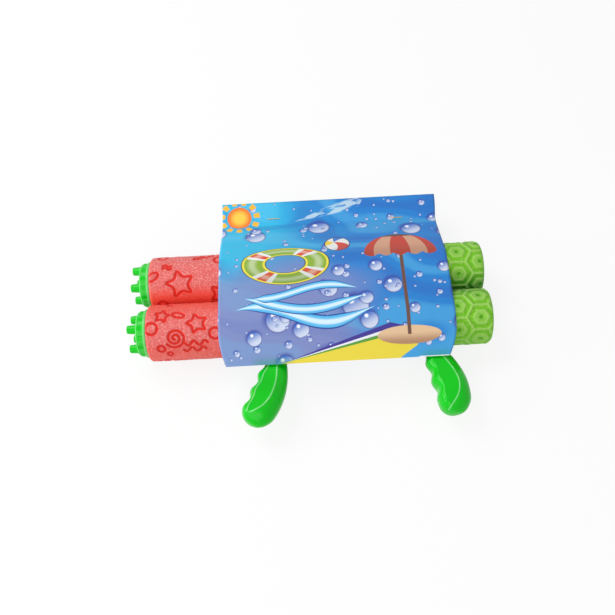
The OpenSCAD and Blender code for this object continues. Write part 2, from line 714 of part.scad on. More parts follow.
placed() barrel_tube(upper_y);  // upper_barrel_tube
placed() barrel_tube(lower_y);  // lower_barrel_tube
placed() nozzle_cap(upper_y, upper_cap_turn);  // upper_nozzle_cap
placed() nozzle_cap(lower_y, lower_cap_turn);  // lower_nozzle_cap
placed() nozzle_seal(upper_y);  // upper_nozzle_seal
placed() nozzle_seal(lower_y);  // lower_nozzle_seal
placed() front_foam(upper_y);  // upper_front_foam
placed() front_foam(lower_y);  // lower_front_foam
placed() rear_foam(upper_y);  // upper_rear_foam
placed() rear_foam(lower_y);  // lower_rear_foam
placed() end_collar(upper_y);  // upper_end_collar
placed() end_collar(lower_y);  // lower_end_collar
placed() front_grip(1);  // front_grip_left
placed() front_grip(-1);  // front_grip_right
placed() front_grip_screws();
placed() plunger_rod(upper_y);  // upper_plunger_rod
placed() plunger_rod(lower_y);  // lower_plunger_rod
placed() piston(upper_y);  // upper_piston
placed() piston(lower_y);  // lower_piston
placed() piston_ring(upper_y);  // upper_piston_ring
placed() piston_ring(lower_y);  // lower_piston_ring
placed() handle_core(upper_y);  // upper_handle_core
placed() handle_core(lower_y);  // lower_handle_core
placed() handle_plug(upper_y);  // upper_handle_plug
placed() handle_plug(lower_y);  // lower_handle_plug
placed() handle_front_foam(upper_y, upper_shell_turn);  // upper_handle_front_foam
placed() handle_front_foam(lower_y, lower_shell_turn);  // lower_handle_front_foam
placed() handle_rear_foam(upper_y, upper_shell_turn);  // upper_handle_rear_foam
placed() handle_rear_foam(lower_y, lower_shell_turn);  // lower_handle_rear_foam
placed() rear_grip(1);  // rear_grip_left
placed() rear_grip(-1);  // rear_grip_right
placed() rear_grip_screws();
placed() card_sleeve();
placed() card_staples();
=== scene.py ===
"""The dressed squirter: foam sleeves with their relief, glossy mouldings and a printed card."""

import json
import math
from dataclasses import dataclass

import bpy
import numpy as np
from mathutils import Matrix, Vector


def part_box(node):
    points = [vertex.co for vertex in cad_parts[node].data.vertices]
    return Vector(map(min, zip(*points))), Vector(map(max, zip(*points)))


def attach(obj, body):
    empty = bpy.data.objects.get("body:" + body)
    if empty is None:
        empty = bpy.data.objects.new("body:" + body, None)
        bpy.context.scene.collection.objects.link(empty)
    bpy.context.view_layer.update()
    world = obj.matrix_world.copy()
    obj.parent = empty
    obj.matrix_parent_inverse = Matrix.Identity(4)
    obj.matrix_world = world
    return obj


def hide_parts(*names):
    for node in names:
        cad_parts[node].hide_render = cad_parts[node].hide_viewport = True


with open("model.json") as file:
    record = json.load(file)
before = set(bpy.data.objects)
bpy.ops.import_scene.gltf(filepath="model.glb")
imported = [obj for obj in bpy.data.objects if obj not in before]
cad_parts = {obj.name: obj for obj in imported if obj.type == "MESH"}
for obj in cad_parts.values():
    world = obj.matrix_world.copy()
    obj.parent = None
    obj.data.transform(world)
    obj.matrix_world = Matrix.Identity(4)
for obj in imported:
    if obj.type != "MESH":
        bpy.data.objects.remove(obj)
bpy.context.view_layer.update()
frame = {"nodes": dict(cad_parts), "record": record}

# Pieces are drawn in millimetres: X from the red foam's front edge, Y from the lower barrel's axis
# towards the card's header, Z up from the plane of both barrels. A turn about a barrel starts at +Z
# and runs towards the grips.
MM = 0.001
foam_low, foam_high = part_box("lower_front_foam")
ORIGIN = np.array([foam_low.x, (foam_low.y + foam_high.y) / 2, (foam_low.z + foam_high.z) / 2])


def span(node):
    """Lowest and highest corner of a CAD node, as it is drawn here."""
    low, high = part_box(node)
    return (np.array(low) - ORIGIN) / MM, (np.array(high) - ORIGIN) / MM


FOAM_R = span("lower_front_foam")[1][2]
TUBE_R = span("lower_barrel_tube")[1][2]
LOWER_Y = 0.0
UPPER_Y = sum(corner[1] for corner in span("upper_front_foam")) / 2
BARREL_Y = {"lower": LOWER_Y, "upper": UPPER_Y}


def srgb(red, green, blue):
    """A colour as it is seen on a screen, from 0 to 255, for a shader's socket."""
    shares = [value / 255 for value in (red, green, blue)]
    linear = [s / 12.92 if s <= 0.04045 else ((s + 0.055) / 1.055) ** 2.4 for s in shares]
    return (*linear, 1.0)


def ease(value, start, end):
    """Smooth step from 0 at start to 1 at end, for arrays."""
    t = np.clip((value - start) / (end - start), 0.0, 1.0)
    return t * t * (3 - 2 * t)


def fill(node, inputs):
    """Gives a node's inputs plain values, or links them to Values."""
    for key, value in inputs.items():
        if isinstance(value, Value):
            node.id_data.links.new(value.socket, node.inputs[key])
        else:
            node.inputs[key].default_value = value


def new_node(tree, kind, inputs=None, **settings):
    node = tree.nodes.new(kind)
    for name, value in settings.items():
        setattr(node, name, value)
    fill(node, inputs or {})
    return node


class Value:
    """An output of a node. What is reckoned with it becomes further nodes of the same tree."""

    def __init__(self, socket):
        self.socket = socket

    def node(self, kind, inputs, **settings):
        return new_node(self.socket.id_data, kind, inputs, **settings).outputs

    def reckon(self, operation, *values):
        return Value(self.node("ShaderNodeMath", dict(enumerate(values)), operation=operation)[0])

    def math(self, operation, *others):
        return self.reckon(operation, self, *others)

    def __add__(self, other):
        return self.math("ADD", other)

    def __sub__(self, other):
        return self.math("SUBTRACT", other)

    def __rsub__(self, other):
        return self.reckon("SUBTRACT", other, self)

    def __mul__(self, other):
        return self.math("MULTIPLY", other)

    def __truediv__(self, other):
        return self.math("DIVIDE", other)

    def __abs__(self):
        return self.math("ABSOLUTE")

    def hypot(self, other):
        return (self * self + other * other).math("SQRT")

    def step(self, start, end):
        """Smooth step from 0 at start to 1 at end; start may be the larger."""
        inputs = {"Value": self, "From Min": start, "From Max": end}
        return Value(self.node("ShaderNodeMapRange", inputs, interpolation_type="SMOOTHSTEP")[0])

    def mix(self, under, over):
        """The first colour at 0 and the second at 1."""
        return Value(self.node("ShaderNodeMix", {0: self, 6: under, 7: over}, data_type="RGBA")[2])

    def bands(self, stops):
        """Hard-edged colours along a value from 0 to 1."""
        node = new_node(self.socket.id_data, "ShaderNodeValToRGB", {0: self})
        ramp = node.color_ramp
        ramp.interpolation = "CONSTANT"
        while len(ramp.elements) < len(stops):
            ramp.elements.new(1.0)
        for element, (place, colour) in zip(ramp.elements, stops):
            element.position = place
            element.color = colour
        return Value(node.outputs[0])

    def split(self):
        return [Value(part) for part in self.node("ShaderNodeSeparateXYZ", {0: self})]

    def noise(self, scale, detail, roughness):
        inputs = {"Vector": self, "Scale": scale, "Detail": detail, "Roughness": roughness}
        return Value(self.node("ShaderNodeTexNoise", inputs)[0])

    def cells(self, scale, dimensions):
        """Voronoi cells: distance to the nearest centre, a random colour and the centre."""
        inputs = {"Vector": self, "Scale": scale}
        outputs = self.node("ShaderNodeTexVoronoi", inputs, voronoi_dimensions=dimensions)
        return [Value(outputs[name]) for name in ("Distance", "Color", "Position")]

    def bump(self, depth):
        return Value(self.node("ShaderNodeBump", {"Height": self, "Distance": depth})[0])


def joined(*parts):
    """A vector of Values."""
    return Value(parts[0].node("ShaderNodeCombineXYZ", dict(enumerate(parts)))[0])


def new_material(name):
    material = bpy.data.materials.new(name)
    material.use_nodes = True
    return material


def coords(material, kind):
    return Value(new_node(material.node_tree, "ShaderNodeTexCoord").outputs[kind])


def marked(material, name):
    """The value that a mesh marks under that name."""
    return Value(new_node(material.node_tree, "ShaderNodeAttribute", attribute_name=name).outputs["Fac"])


def shade(material, inputs):
    fill(material.node_tree.nodes["Principled BSDF"], inputs)
    return material


def foam_look(name, skin, speck, pore, deep, line, line_share):
    """Closed-cell foam with light specks and dark pores, painted shade in its deep colour where a mesh marks
    it, and a colour for its relief.
    """
    material = new_material(name)
    place = coords(material, "Object")
    blotch = place.noise(scale=620, detail=2.0, roughness=0.6)
    grain = place.noise(scale=1300, detail=3.0, roughness=0.65)
    pores = place.cells(900, "3D")[0]
    colour = (blotch.step(0.52, 0.34) * 0.6).mix(skin, pore)
    colour = (blotch.step(0.5, 0.66) * 0.6).mix(colour, speck)
    # painted shade: the deep colour stands in for shade between the barrels and in the dimples
    colour = (marked(material, "hollow") * 0.92).mix(colour, deep)
    colour = (marked(material, "relief") * line_share).mix(colour, line)
    return shade(material, {
        "Base Color": colour,
        "Roughness": grain * 0.3 + 0.62,
        "Specular IOR Level": 0.25,
        "Sheen Weight": 0.14,
        "Sheen Roughness": 0.5,
        "Normal": (grain * 0.7 + pores.step(0.1, 0.5) * 0.5).bump(0.3 * MM),
    })


def gloss_look(name, colour, deep, painted_highlight):
    """Glossy plastic with faint flow marks, a slight ripple and a painted highlight where a mesh marks it."""
    material = new_material(name)
    place = coords(material, "Object")
    flow = place.noise(scale=28, detail=3.0, roughness=0.6)
    ripples = place.noise(scale=240, detail=2.0, roughness=0.5)
    dust = place.noise(scale=900, detail=2.0, roughness=0.7)
    tone = flow.step(0.3, 0.75).mix(colour, deep)
    return shade(material, {
        # painted highlight: the pale colour where a mesh marks highlights along edges, rims and ribs
        "Base Color": marked(material, "painted_highlight").mix(tone, painted_highlight),
        "Roughness": dust.step(0.5, 0.8) * 0.1 + 0.17,
        "Specular IOR Level": 0.22,
        "Normal": ripples.bump(0.04 * MM),
    })


def satin_look(name, colour, worn, rough, scale, metal=0.0):
    """A plain satin surface with fine streaks and scuffs."""
    material = new_material(name)
    place = coords(material, "Object")
    x, y, z = place.split()
    streaks = joined(x * 0.08, y, z).noise(scale, detail=3.0, roughness=0.6)
    scuffs = place.noise(scale * 0.25, detail=4.0, roughness=0.65)
    return shade(material, {
        "Base Color": scuffs.step(0.5, 0.78).mix(colour, worn),
        "Metallic": metal,
        "Roughness": streaks.step(0.35, 0.7) * 0.15 + rough,
        "Normal": streaks.bump(0.04 * MM),
    })


# The print is drawn in millimetres too: u along the card from its front edge, v up from the bottom fold


def drops(u, v, backdrop, pitch, least, most, share):
    """A layer of water drops over a print. Cells of that pitch have one or none; radii are shares of it."""
    at = joined(u / pitch, v / pitch)
    distance, chance, centre = at.cells(1.0, "2D")
    pick, size, _ = chance.split()
    radius = size * (most - least) + least
    reach = distance / radius
    here = pick.step(1 - share, 1.001 - share)
    across, up = [(place - middle) / radius for place, middle in zip(at.split()[:2], centre.split()[:2])]
    slope = across * 0.45 + up * -0.9
    shadow = reach.step(1.35, 1.0) * slope.step(0.5, -0.9) * here * 0.6
    colour = shadow.mix(backdrop, srgb(52, 60, 160))
    drop = slope.step(-0.9, 0.7).mix(srgb(52, 104, 196), srgb(206, 216, 238))
    drop = reach.step(0.78, 0.98).mix(drop, srgb(46, 56, 150))
    shine = (across + 0.3).hypot(up - 0.42).step(0.26, 0.14)
    drop = shine.mix(drop, srgb(244, 248, 252))
    return (reach.step(1.0, 0.93) * here).mix(colour, drop)


# Layers of drops, the first lowest: pitch, least and greatest radius, and share of cells with a drop
DROP_LAYERS = ((62.0, 0.13, 0.23, 0.55), (9.0, 0.1, 0.19, 0.22),
               (17.0, 0.12, 0.22, 0.36), (37.0, 0.12, 0.24, 0.42))


def water(u, v):
    """The print's backdrop: cyan, azure and lilac water in slow waves, with drops of four sizes."""
    swell = joined(u, v).noise(scale=0.016, detail=1.0, roughness=0.5)
    bend = joined(u * 0.009, v * 0.016).noise(scale=1.0, detail=1.0, roughness=0.5)
    colour = (u + swell * 110).step(190, 70).mix(srgb(22, 126, 206), srgb(40, 188, 230))
    low = (v + swell * 70).step(150, 105) * (u - swell * 70).step(130, 60)
    colour = (low * 0.95).mix(colour, srgb(124, 134, 190))
    calm = 1.0 - low * 0.6
    wave = (v * 0.09 + u * 0.025 + bend * 15).math("SINE")
    colour = (wave.step(0.2, 1.0) * calm * 0.34).mix(colour, srgb(96, 200, 240))
    colour = (wave.step(-0.3, -1.0) * calm * 0.28).mix(colour, srgb(36, 70, 172))
    for layer in DROP_LAYERS:
        colour = drops(u, v, colour, *layer)
    return colour


def light_streak(u, v, colour, start, end, half):
    """A broken streak of light on the water, from start to end."""
    length = math.dist(start, end)
    ahead = ((end[0] - start[0]) / length, (end[1] - start[1]) / length)
    across, up = u - start[0], v - start[1]
    along = across * ahead[0] + up * ahead[1]
    off = up * ahead[0] - across * ahead[1]
    ragged = joined(along * 0.05, off * 0.22).noise(scale=1.0, detail=2.0, roughness=0.6)
    taper = along.step(0.0, length * 0.7) * along.step(length, length * 0.9)
    reach = abs(off) + (1.0 - taper) * half
    here = reach.step(half, half * 0.8) * ragged.step(0.42, 0.56)
    return (here * 0.75).mix(colour, srgb(206, 230, 240))


SHORE_START = 55.0
SHORE_END = 177.0
SHORE_RISE = 0.206
BAND_SHARE = 0.035
# Where the green grips show in painted reflection by the card's fold, along the print
PAINTED_GRIP_REFLECTION_AT = (47.0, 196.0)


def shore(u, v, colour):
    """Plain stripes that widen along a rising yellow strand, a painted green reflection of the grips by the
    fold and a bare cut edge.
    """
    run = u - SHORE_START
    width = (run * 0.01).math("MINIMUM", (SHORE_END + 1 - u) * 0.04).math("MAXIMUM", 0.08)
    above = (v - run * SHORE_RISE) / width
    stripes = (above * BAND_SHARE + 0.5).bands((
        (0.0, srgb(232, 212, 58)),
        (0.5, srgb(84, 152, 52)),
        (0.5 + 3.4 * BAND_SHARE, srgb(232, 234, 240)),
        (0.5 + 6.4 * BAND_SHARE, srgb(58, 44, 142)),
    ))
    here = above.step(12.0, 11.4) * run.step(0.0, 2.0) * u.step(SHORE_END, SHORE_END - 1)
    colour = (here * (u - v * 1.5).step(161.0, 160.0)).mix(colour, stripes)
    # painted reflection of the green grips by the fold
    for middle in PAINTED_GRIP_REFLECTION_AT:
        grip_reflection = v.step(9.0, 0.0) * abs(u - middle).step(22.0, 8.0) * 0.55
        colour = grip_reflection.mix(colour, srgb(20, 150, 120))
    cut_edge = v.step(0.8, 0.5) * u.step(SHORE_END - 1, SHORE_END + 1)
    return cut_edge.mix(colour, srgb(236, 240, 240))


def local(u, v, middle, size):
    """Place against a motif's middle, across and up, as shares of its size, and the distance of both."""
    across, up = (u - middle[0]) * (1 / size[0]), (v - middle[1]) * (1 / size[1])
    return across, up, across.hypot(up)


def sun(u, v, colour, middle, radius):
    """A sun with blunt rays."""
    across, up, reach = local(u, v, middle, (radius, radius))
    ray = (up.math("ARCTAN2", across) * 11.0).math("SINE").step(-0.2, 0.15)
    rays = ray * reach.step(1.75, 1.66) * reach.step(1.18, 1.24)
    colour = rays.mix(colour, srgb(250, 186, 44))
    disc = reach.step(0.3, 1.0).mix(srgb(252, 206, 70), srgb(244, 116, 28))
    return reach.step(1.03, 0.98).mix(colour, disc)


# Ribbons of water: height on the card, swing, length over which a wave turns by one radian, half width
RIBBONS = ((44.0, 9.0, 21.0, 6.5), (56.0, 8.0, 24.0, 5.5), (67.0, 6.0, 19.0, 4.5))


def wave_ribbons(u, v, colour):
    """Ribbons of water that swing across the card, with pale crests and dark outlines."""
    for order, (base, swing, length, width) in enumerate(RIBBONS):
        middle = (u * (1 / length) + order * 1.3).math("SINE") * swing + base
        half = u.step(12.0 + 9 * order, 44.0) * u.step(146.0 - 8 * order, 104.0) * width
        off = abs(v - middle) / half.math("MAXIMUM", 0.05)
        ribbon = off.step(0.55, 0.15).mix(srgb(84, 186, 238), srgb(214, 240, 252))
        ribbon = off.step(0.74, 0.86).mix(ribbon, srgb(26, 62, 150))
        colour = (off.step(1.02, 0.96) * half.step(0.1, 0.6)).mix(colour, ribbon)
    return colour


RING_CROWN = 0.76
RING_MIDDLE = 0.725


def swim_ring(u, v, colour, middle, size):
    """A swim ring seen aslant: green with white and red bands, and yellow along both rims."""
    across, up, reach = local(u, v, middle, size)
    share = ((up.math("ARCTAN2", across) + 0.35) * (2 / math.pi)).math("FRACT")
    green, white = srgb(138, 174, 50), srgb(232, 236, 240)
    skin = share.bands(((0.0, green), (0.62, white), (0.72, srgb(222, 74, 48)), (0.9, white)))
    skin = (abs(reach - RING_CROWN).step(0.14, 0.02) * 0.35).mix(skin, srgb(246, 250, 232))
    skin = (up.step(0.1, -0.9) * 0.3).mix(skin, srgb(64, 96, 40))
    off = abs(reach - RING_MIDDLE)
    skin = off.step(0.2, 0.22).mix(skin, srgb(236, 220, 70))
    skin = off.step(0.255, 0.265).mix(skin, srgb(40, 70, 70))
    return off.step(0.29, 0.275).mix(colour, skin)


def beach_ball(u, v, colour, middle, radius):
    """A ball of six coloured panels that meet off its centre."""
    across, up, reach = local(u, v, middle, (radius, radius))
    turn = (up - 0.28).math("ARCTAN2", across + 0.22) + reach * 0.5
    white = srgb(232, 234, 232)
    tones = (white, srgb(60, 120, 200), white, srgb(240, 206, 60), white, srgb(216, 68, 48))
    stops = [(order / len(tones), tone) for order, tone in enumerate(tones)]
    panels = (turn * (0.5 / math.pi)).math("FRACT").bands(stops)
    panels = ((across * 0.6 - up).step(0.1, 1.1) * 0.35).mix(panels, srgb(70, 80, 90))
    panels = reach.step(0.9, 0.94).mix(panels, srgb(36, 54, 120))
    return reach.step(1.01, 0.98).mix(colour, panels)


def parasol(u, v, colour, middle, radius, pole_len):
    """A parasol of red and cream panels on a pole in a heap of sand."""
    wood, red, cream = srgb(104, 70, 56), srgb(196, 62, 44), srgb(214, 160, 130)
    across, up, _ = local(u, v, middle, (radius, radius))
    foot = pole_len / radius
    over_foot = up + foot
    sand = over_foot.step(0.1, -0.2).mix(srgb(226, 190, 150), srgb(176, 132, 100))
    colour = across.hypot(over_foot * 3.4).step(0.86, 0.83).mix(colour, sand)
    pole = abs(across).step(0.055, 0.04) * up.step(-foot, 0.02 - foot) * up.step(0.9, 0.8)
    colour = pole.mix(colour, wood)
    width = (1.0 - up * up).math("MAXIMUM", 0.01).math("SQRT")
    share = across / width * 0.5 + 0.5
    panels = share.bands(((0.0, red), (0.13, cream), (0.36, red), (0.64, cream), (0.87, red)))
    panels = (up.step(0.55, -0.05) * 0.3).mix(panels, srgb(92, 56, 50))
    panels = up.step(0.82, 0.86).mix(panels, wood)
    scallop = abs((share * (5 * math.pi)).math("SINE")) * 0.09
    cover = across.hypot(up * 1.05).step(1.005, 0.985) * (up + scallop).step(-0.01, 0.01)
    return cover.mix(colour, panels)


def print_look(name, front):
    """The printed and varnished card. The motifs are on the front panel alone."""
    material = new_material(name)
    u, v, _ = coords(material, "UV").split()
    colour = water(u, v)
    if front:
        colour = light_streak(u, v, colour, start=(60.0, 166.0), end=(142.0, 190.0), half=5.5)
        colour = sun(u, v, colour, middle=(17.0, 176.0), radius=12.0)
        colour = wave_ribbons(u, v, colour)
    colour = shore(u, v, colour)
    if front:
        colour = parasol(u, v, colour, middle=(170.0, 104.0), radius=34.0, pole_len=84.0)
        colour = swim_ring(u, v, colour, middle=(62.0, 98.0), size=(41.0, 23.0))
        colour = beach_ball(u, v, colour, middle=(112.0, 124.0), radius=12.5)
    fibre = coords(material, "Object").noise(scale=700, detail=3.0, roughness=0.6)
    return shade(material, {
        "Base Color": (fibre * 0.04).mix(colour, srgb(250, 250, 250)),
        "Roughness": fibre * 0.12 + 0.34,
        "Specular IOR Level": 0.2,
        "Normal": fibre.bump(0.03 * MM),
    })


# The fourth colour of each foam is its painted shade; the last colour of the plastic is its painted highlight
LOOKS = {
    "red_foam": foam_look("red_foam", srgb(228, 110, 106), srgb(244, 170, 166), srgb(222, 84, 78),
                          srgb(244, 68, 40), srgb(218, 28, 12), 0.96),
    "green_foam": foam_look("green_foam", srgb(112, 188, 26), srgb(146, 208, 74), srgb(98, 176, 16),
                            srgb(34, 130, 0), srgb(176, 220, 116), 0.72),
    "green_plastic": gloss_look("green_plastic", srgb(0, 198, 22), srgb(0, 190, 18), srgb(190, 250, 196)),
    "white_plastic": satin_look("white_plastic", srgb(236, 236, 230), srgb(214, 214, 206), 0.4, 420),
    "seal_rubber": satin_look("seal_rubber", srgb(34, 34, 36), srgb(58, 58, 60), 0.55, 500),
    "screw_steel": satin_look("screw_steel", srgb(176, 178, 180), srgb(120, 120, 122), 0.3, 900, metal=1.0),
    "staple_wire": satin_look("staple_wire", srgb(222, 186, 120), srgb(176, 140, 84), 0.28, 900, metal=1.0),
    "card_print": print_look("card_print", front=True),
}
CARD_BACK = print_look("card_back_print", front=False)
CARD_BOARD = satin_look("card_board", srgb(240, 240, 236), srgb(226, 226, 220), 0.7, 300)


def add_object(name, data):
    obj = bpy.data.objects.new(name, data)
    bpy.context.scene.collection.objects.link(obj)
    return obj


def add_drawn(name, points, faces):
    """A mesh object of drawn points."""
    mesh = bpy.data.meshes.new(name)
    mesh.from_pydata((np.asarray(points) * MM + ORIGIN).tolist(), [], faces)
    return add_object(name, mesh)


def piece(name, points, faces, body, slot, node, crease, more_looks=()):
    """A mesh piece of drawn points in place of a CAD node, smooth but for creases over that angle."""
    obj = add_drawn(name, points, faces)
    for look in (LOOKS[slot], *more_looks):
        obj.data.materials.append(look)
    obj.data.shade_smooth()
    obj.data.set_sharp_from_angle(angle=math.radians(crease))
    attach(obj, body)
    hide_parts(node)
    return obj


def mark(obj, name, values):
    """Gives each point of a piece a value that its material reads."""
    layer = obj.data.attributes.new(name, "FLOAT", "POINT")
    layer.data.foreach_set("value", np.asarray(values, dtype=np.float32).ravel())


def turned(profile, turns, y, z=0.0):
    """Points of a profile's x and r columns turned about an axis at y, z; r may differ from turn to turn."""
    x, r = profile
    return np.stack(np.broadcast_arrays(x, y - r * np.sin(turns), z + r * np.cos(turns)), axis=-1)


def loop_faces(rows, columns, closed, first=0):
    """Quads of a grid of points whose columns go all the way round, and its rows too where closed."""
    faces = []
    for row in range(rows if closed else rows - 1):
        near, far = first + row * columns, first + (row + 1) % rows * columns
        for j in range(columns):
            k = (j + 1) % columns
            faces.append((near + j, near + k, far + k, far + j))
    return faces


def capped_faces(rows, columns, first=0):
    """Faces of a grid of points whose columns go all the way round, with its first and last row closed."""
    start = tuple(range(first, first + columns))
    end = tuple(k + (rows - 1) * columns for k in start)
    return loop_faces(rows, columns, False, first) + [start[::-1], end]


def full_turn(steps):
    return np.linspace(0, 2 * math.pi, steps, endpoint=False)


def arc(middle, radius, start, end, steps):
    """Points (x, r) on an arc, both ends included; turns in degrees from +x towards +r."""
    turns = np.radians(np.linspace(start, end, steps + 1))
    return [(middle[0] + radius * math.cos(t), middle[1] + radius * math.sin(t)) for t in turns]


# Foam sleeves: a closed tube whose outer skin carries a relief

FOAM_STEP = 0.55
FOAM_COLUMNS = round(2 * math.pi * FOAM_R / FOAM_STEP)
BORE_R = TUBE_R + 0.1
END_MARGIN = 0.4
FAR = 99.0
SKIN_FADE = (-2.5, -0.2)
CUT_EDGE_R = 0.6
FRONT_EDGE_R = 3.0
REAR_EDGE_R = 5.0
# Painted shade on the lower sleeves: where it begins towards the upper ones, as the sine of the turn, and
# how much of it they take underneath
PAINTED_SHADE_START = {"red_foam": -0.25, "green_foam": 0.35}
UNDERSIDE_SHADE_SHARE = {"red_foam": 0.4, "green_foam": 0.0}


def hollow_share(barrel, slot, turns):
    """How much painted shade the foam takes: most where it faces the other barrel, less on the lower
    underside.
    """
    down = np.sin(turns)
    if barrel == "upper":
        return ease(down, 0.5, 1.0)
    underside = UNDERSIDE_SHADE_SHARE[slot] * ease(down, 0.6, 1.0)
    return np.maximum(ease(-down, PAINTED_SHADE_START[slot], 0.95), underside)


def sleeve_end(x, inward, edge_r):
    """Points (x, r) from a sleeve's bore out over the rounded edge of an end; inward is 1 or -1."""
    flat = [(x, r) for r in np.linspace(BORE_R, FOAM_R - edge_r - END_MARGIN, 5)]
    return flat + arc((x + inward * edge_r, FOAM_R - edge_r), edge_r, 90 + 90 * inward, 90, 8)


def sleeve(barrel, name, slot, body, front_r, rear_r, relief):
    """One foam sleeve of a barrel. front_r and rear_r round its ends."""
    name = barrel + name
    (front, y_low, _), (rear, y_high, _) = span(name)
    y = (y_low + y_high) / 2
    inner = np.linspace(front + front_r, rear - rear_r, round((rear - front - front_r - rear_r) / FOAM_STEP))
    outline = sleeve_end(front, 1, front_r)
    outline += [(x, FOAM_R) for x in inner[1:-1]]
    outline += sleeve_end(rear, -1, rear_r)[::-1]
    outline += [(x, BORE_R) for x in np.linspace(rear, front, 8)[1:-1]]
    outline = np.array(outline)
    turns = full_turn(FOAM_COLUMNS)
    x, r = outline[:, :1], outline[:, 1:]
    depth, line, pit_shade = relief(*np.broadcast_arrays(x, turns))
    on_skin = ease(r - FOAM_R, *SKIN_FADE)
    points = turned((x, r + depth * on_skin), turns, y)
    faces = loop_faces(len(outline), FOAM_COLUMNS, True)
    obj = piece(name + "_skin", points.reshape(-1, 3), faces, body, slot, name, crease=60)
    mark(obj, "relief", line * on_skin)
    # painted shade where the sleeves face each other, under the lower barrel and in the shell's dimples
    mark(obj, "hollow", np.maximum(hollow_share(barrel, slot, turns), pit_shade * on_skin))


# Outlines of the pressed figures as (x, s) rows, s along the skin towards the grips; turn leans them
def star(radius, waist, turn):
    """A five-pointed star with rounded points."""
    turns = np.radians(np.arange(11) * 36 + turn)
    reach = np.where(np.arange(11) % 2 == 0, radius, waist)
    corners = np.stack([reach * np.sin(turns), -reach * np.cos(turns)], axis=1)
    steps = np.arange(60) / 6
    points = np.stack([np.interp(steps, np.arange(11), corners[:, k]) for k in range(2)], axis=1)
    rounded = sum(np.roll(points, shift, axis=0) for shift in (-2, -1, 0, 1, 2)) / 5
    return np.concatenate([rounded, rounded[:1]])


def ring(width, height, turn=0.0):
    steps = np.linspace(0, 2 * math.pi, 25)
    x, s = width * np.cos(steps), height * np.sin(steps)
    over, up = math.cos(math.radians(turn)), math.sin(math.radians(turn))
    return np.stack([x * over - s * up, x * up + s * over], axis=1)


def spiral(radius, rounds):
    steps = np.linspace(0.12, 1, 46)
    turns = steps * rounds * 2 * math.pi
    return np.stack([radius * steps * np.cos(turns), radius * steps * np.sin(turns)], axis=1)


def ripple(length, swing, waves):
    steps = np.linspace(-0.5, 0.5, 40)
    return np.stack([length * steps, swing * np.sin(steps * waves * 2 * math.pi)], axis=1)


# Motifs as (x, turn in degrees, outline), repeated at every third of a turn
UPPER_MOTIFS = (
    (29.8, 32.0, star(14.4, 6.4, -13)),
    (4.2, 15.0, ring(6.0, 3.4, -35)),
    (17.5, -10.0, ripple(8.0, 1.5, 1.0)),
    (17.8, -3.0, ripple(8.0, 1.5, 1.0)),
    (46.6, -32.0, ring(5.0, 2.2, -20)),
    (68.0, 58.0, star(12.2, 5.6, 20)),
    (66.0, -22.0, ring(4.6, 4.6)),
    (52.0, 84.0, ripple(16.0, 2.0, 2.0)),
    (86.0, 20.0, ring(6.0, 3.4, 30)),
    (12.0, 78.0, ring(4.2, 4.2)),
)
LOWER_MOTIFS = (
    (6.0, 19.0, ring(5.4, 5.4)),
    (27.0, 40.0, spiral(9.5, 2.4)),
    (15.5, -8.0, star(7.6, 3.4, 12)),
    (30.0, -8.0, ring(5.6, 2.6, 15)),
    (47.0, 12.0, star(10.2, 4.8, -14)),
    (46.0, 52.0, ripple(20.0, 2.2, 2.0)),
    (44.0, 66.0, ripple(20.0, 2.2, 2.0)),
    (14.0, 62.0, ring(3.2, 3.2)),
    (21.0, 76.0, ring(2.2, 2.2)),
    (63.0, 34.0, ring(5.0, 5.0)),
    (80.0, 60.0, spiral(8.0, 2.0)),
)
LINE_HALF = 1.3
LINE_DEPTH = 0.5
LINE_SOFT = 0.4
RED_EDGE = (-0.3, 0.25)
LIP_H = 0.25
LIP_W = 0.45
LIP_OFF = 0.75


def gap_to(line, x, s):
    """How far points are from a line of straight pieces."""
    gap = np.full(x.shape, FAR)
    for (x0, s0), (x1, s1) in zip(line, line[1:]):
        dx, ds = x1 - x0, s1 - s0
        t = np.clip(((x - x0) * dx + (s - s0) * ds) / (dx * dx + ds * ds), 0, 1)
        gap = np.minimum(gap, np.hypot(x - x0 - t * dx, s - s0 - t * ds))
    return gap


def pressed_lines(motifs):
    """The relief of lines that are pressed into the foam, with a slight lip along them."""
    around = 2 * math.pi * FOAM_R

    def relief(x, turns):
        away = np.full(x.shape, FAR)
        for middle_x, turn, line in motifs:
            reach = np.abs(line).max() + 4
            for third in range(3):
                s = FOAM_R * (turns - math.radians(turn + 120 * third))
                s = (s + around / 2) % around - around / 2
                near = (np.abs(x - middle_x) < reach) & (np.abs(s) < reach)
                away[near] = np.minimum(away[near], gap_to(line, x[near] - middle_x, s[near]))
        off = away - LINE_HALF
        sunk = 1 - ease(off, -LINE_SOFT, LINE_SOFT)
        lip = np.exp(-((off - LIP_OFF) / LIP_W) ** 2)
        red = 1 - ease(off, *RED_EDGE)
        return LIP_H * lip - LINE_DEPTH * sunk, red, np.zeros(x.shape)

    return relief


SHELL_ROWS = 7
SHELL_LAST_ROW = {"upper": 4.3, "lower": 11.6}
SHELL_TURN = {"upper": 17.0, "lower": 30.0}
SHELL_DEPTH = 1.0
RIDGE_HALF = 1.15
# Painted shade in each cell's dimple, as a share
PIT_SHADE_SHARE = 0.55
INNER_RING = 0.5
INNER_H = 0.75
INNER_LIGHT = 0.85
BOSS_EDGE = 0.34
BOSS_H = 0.35
BOSS_LIGHT = 0.4
DIMPLE_EDGE = (1.0, 2.6)
DIMPLE_DEPTH = 0.8


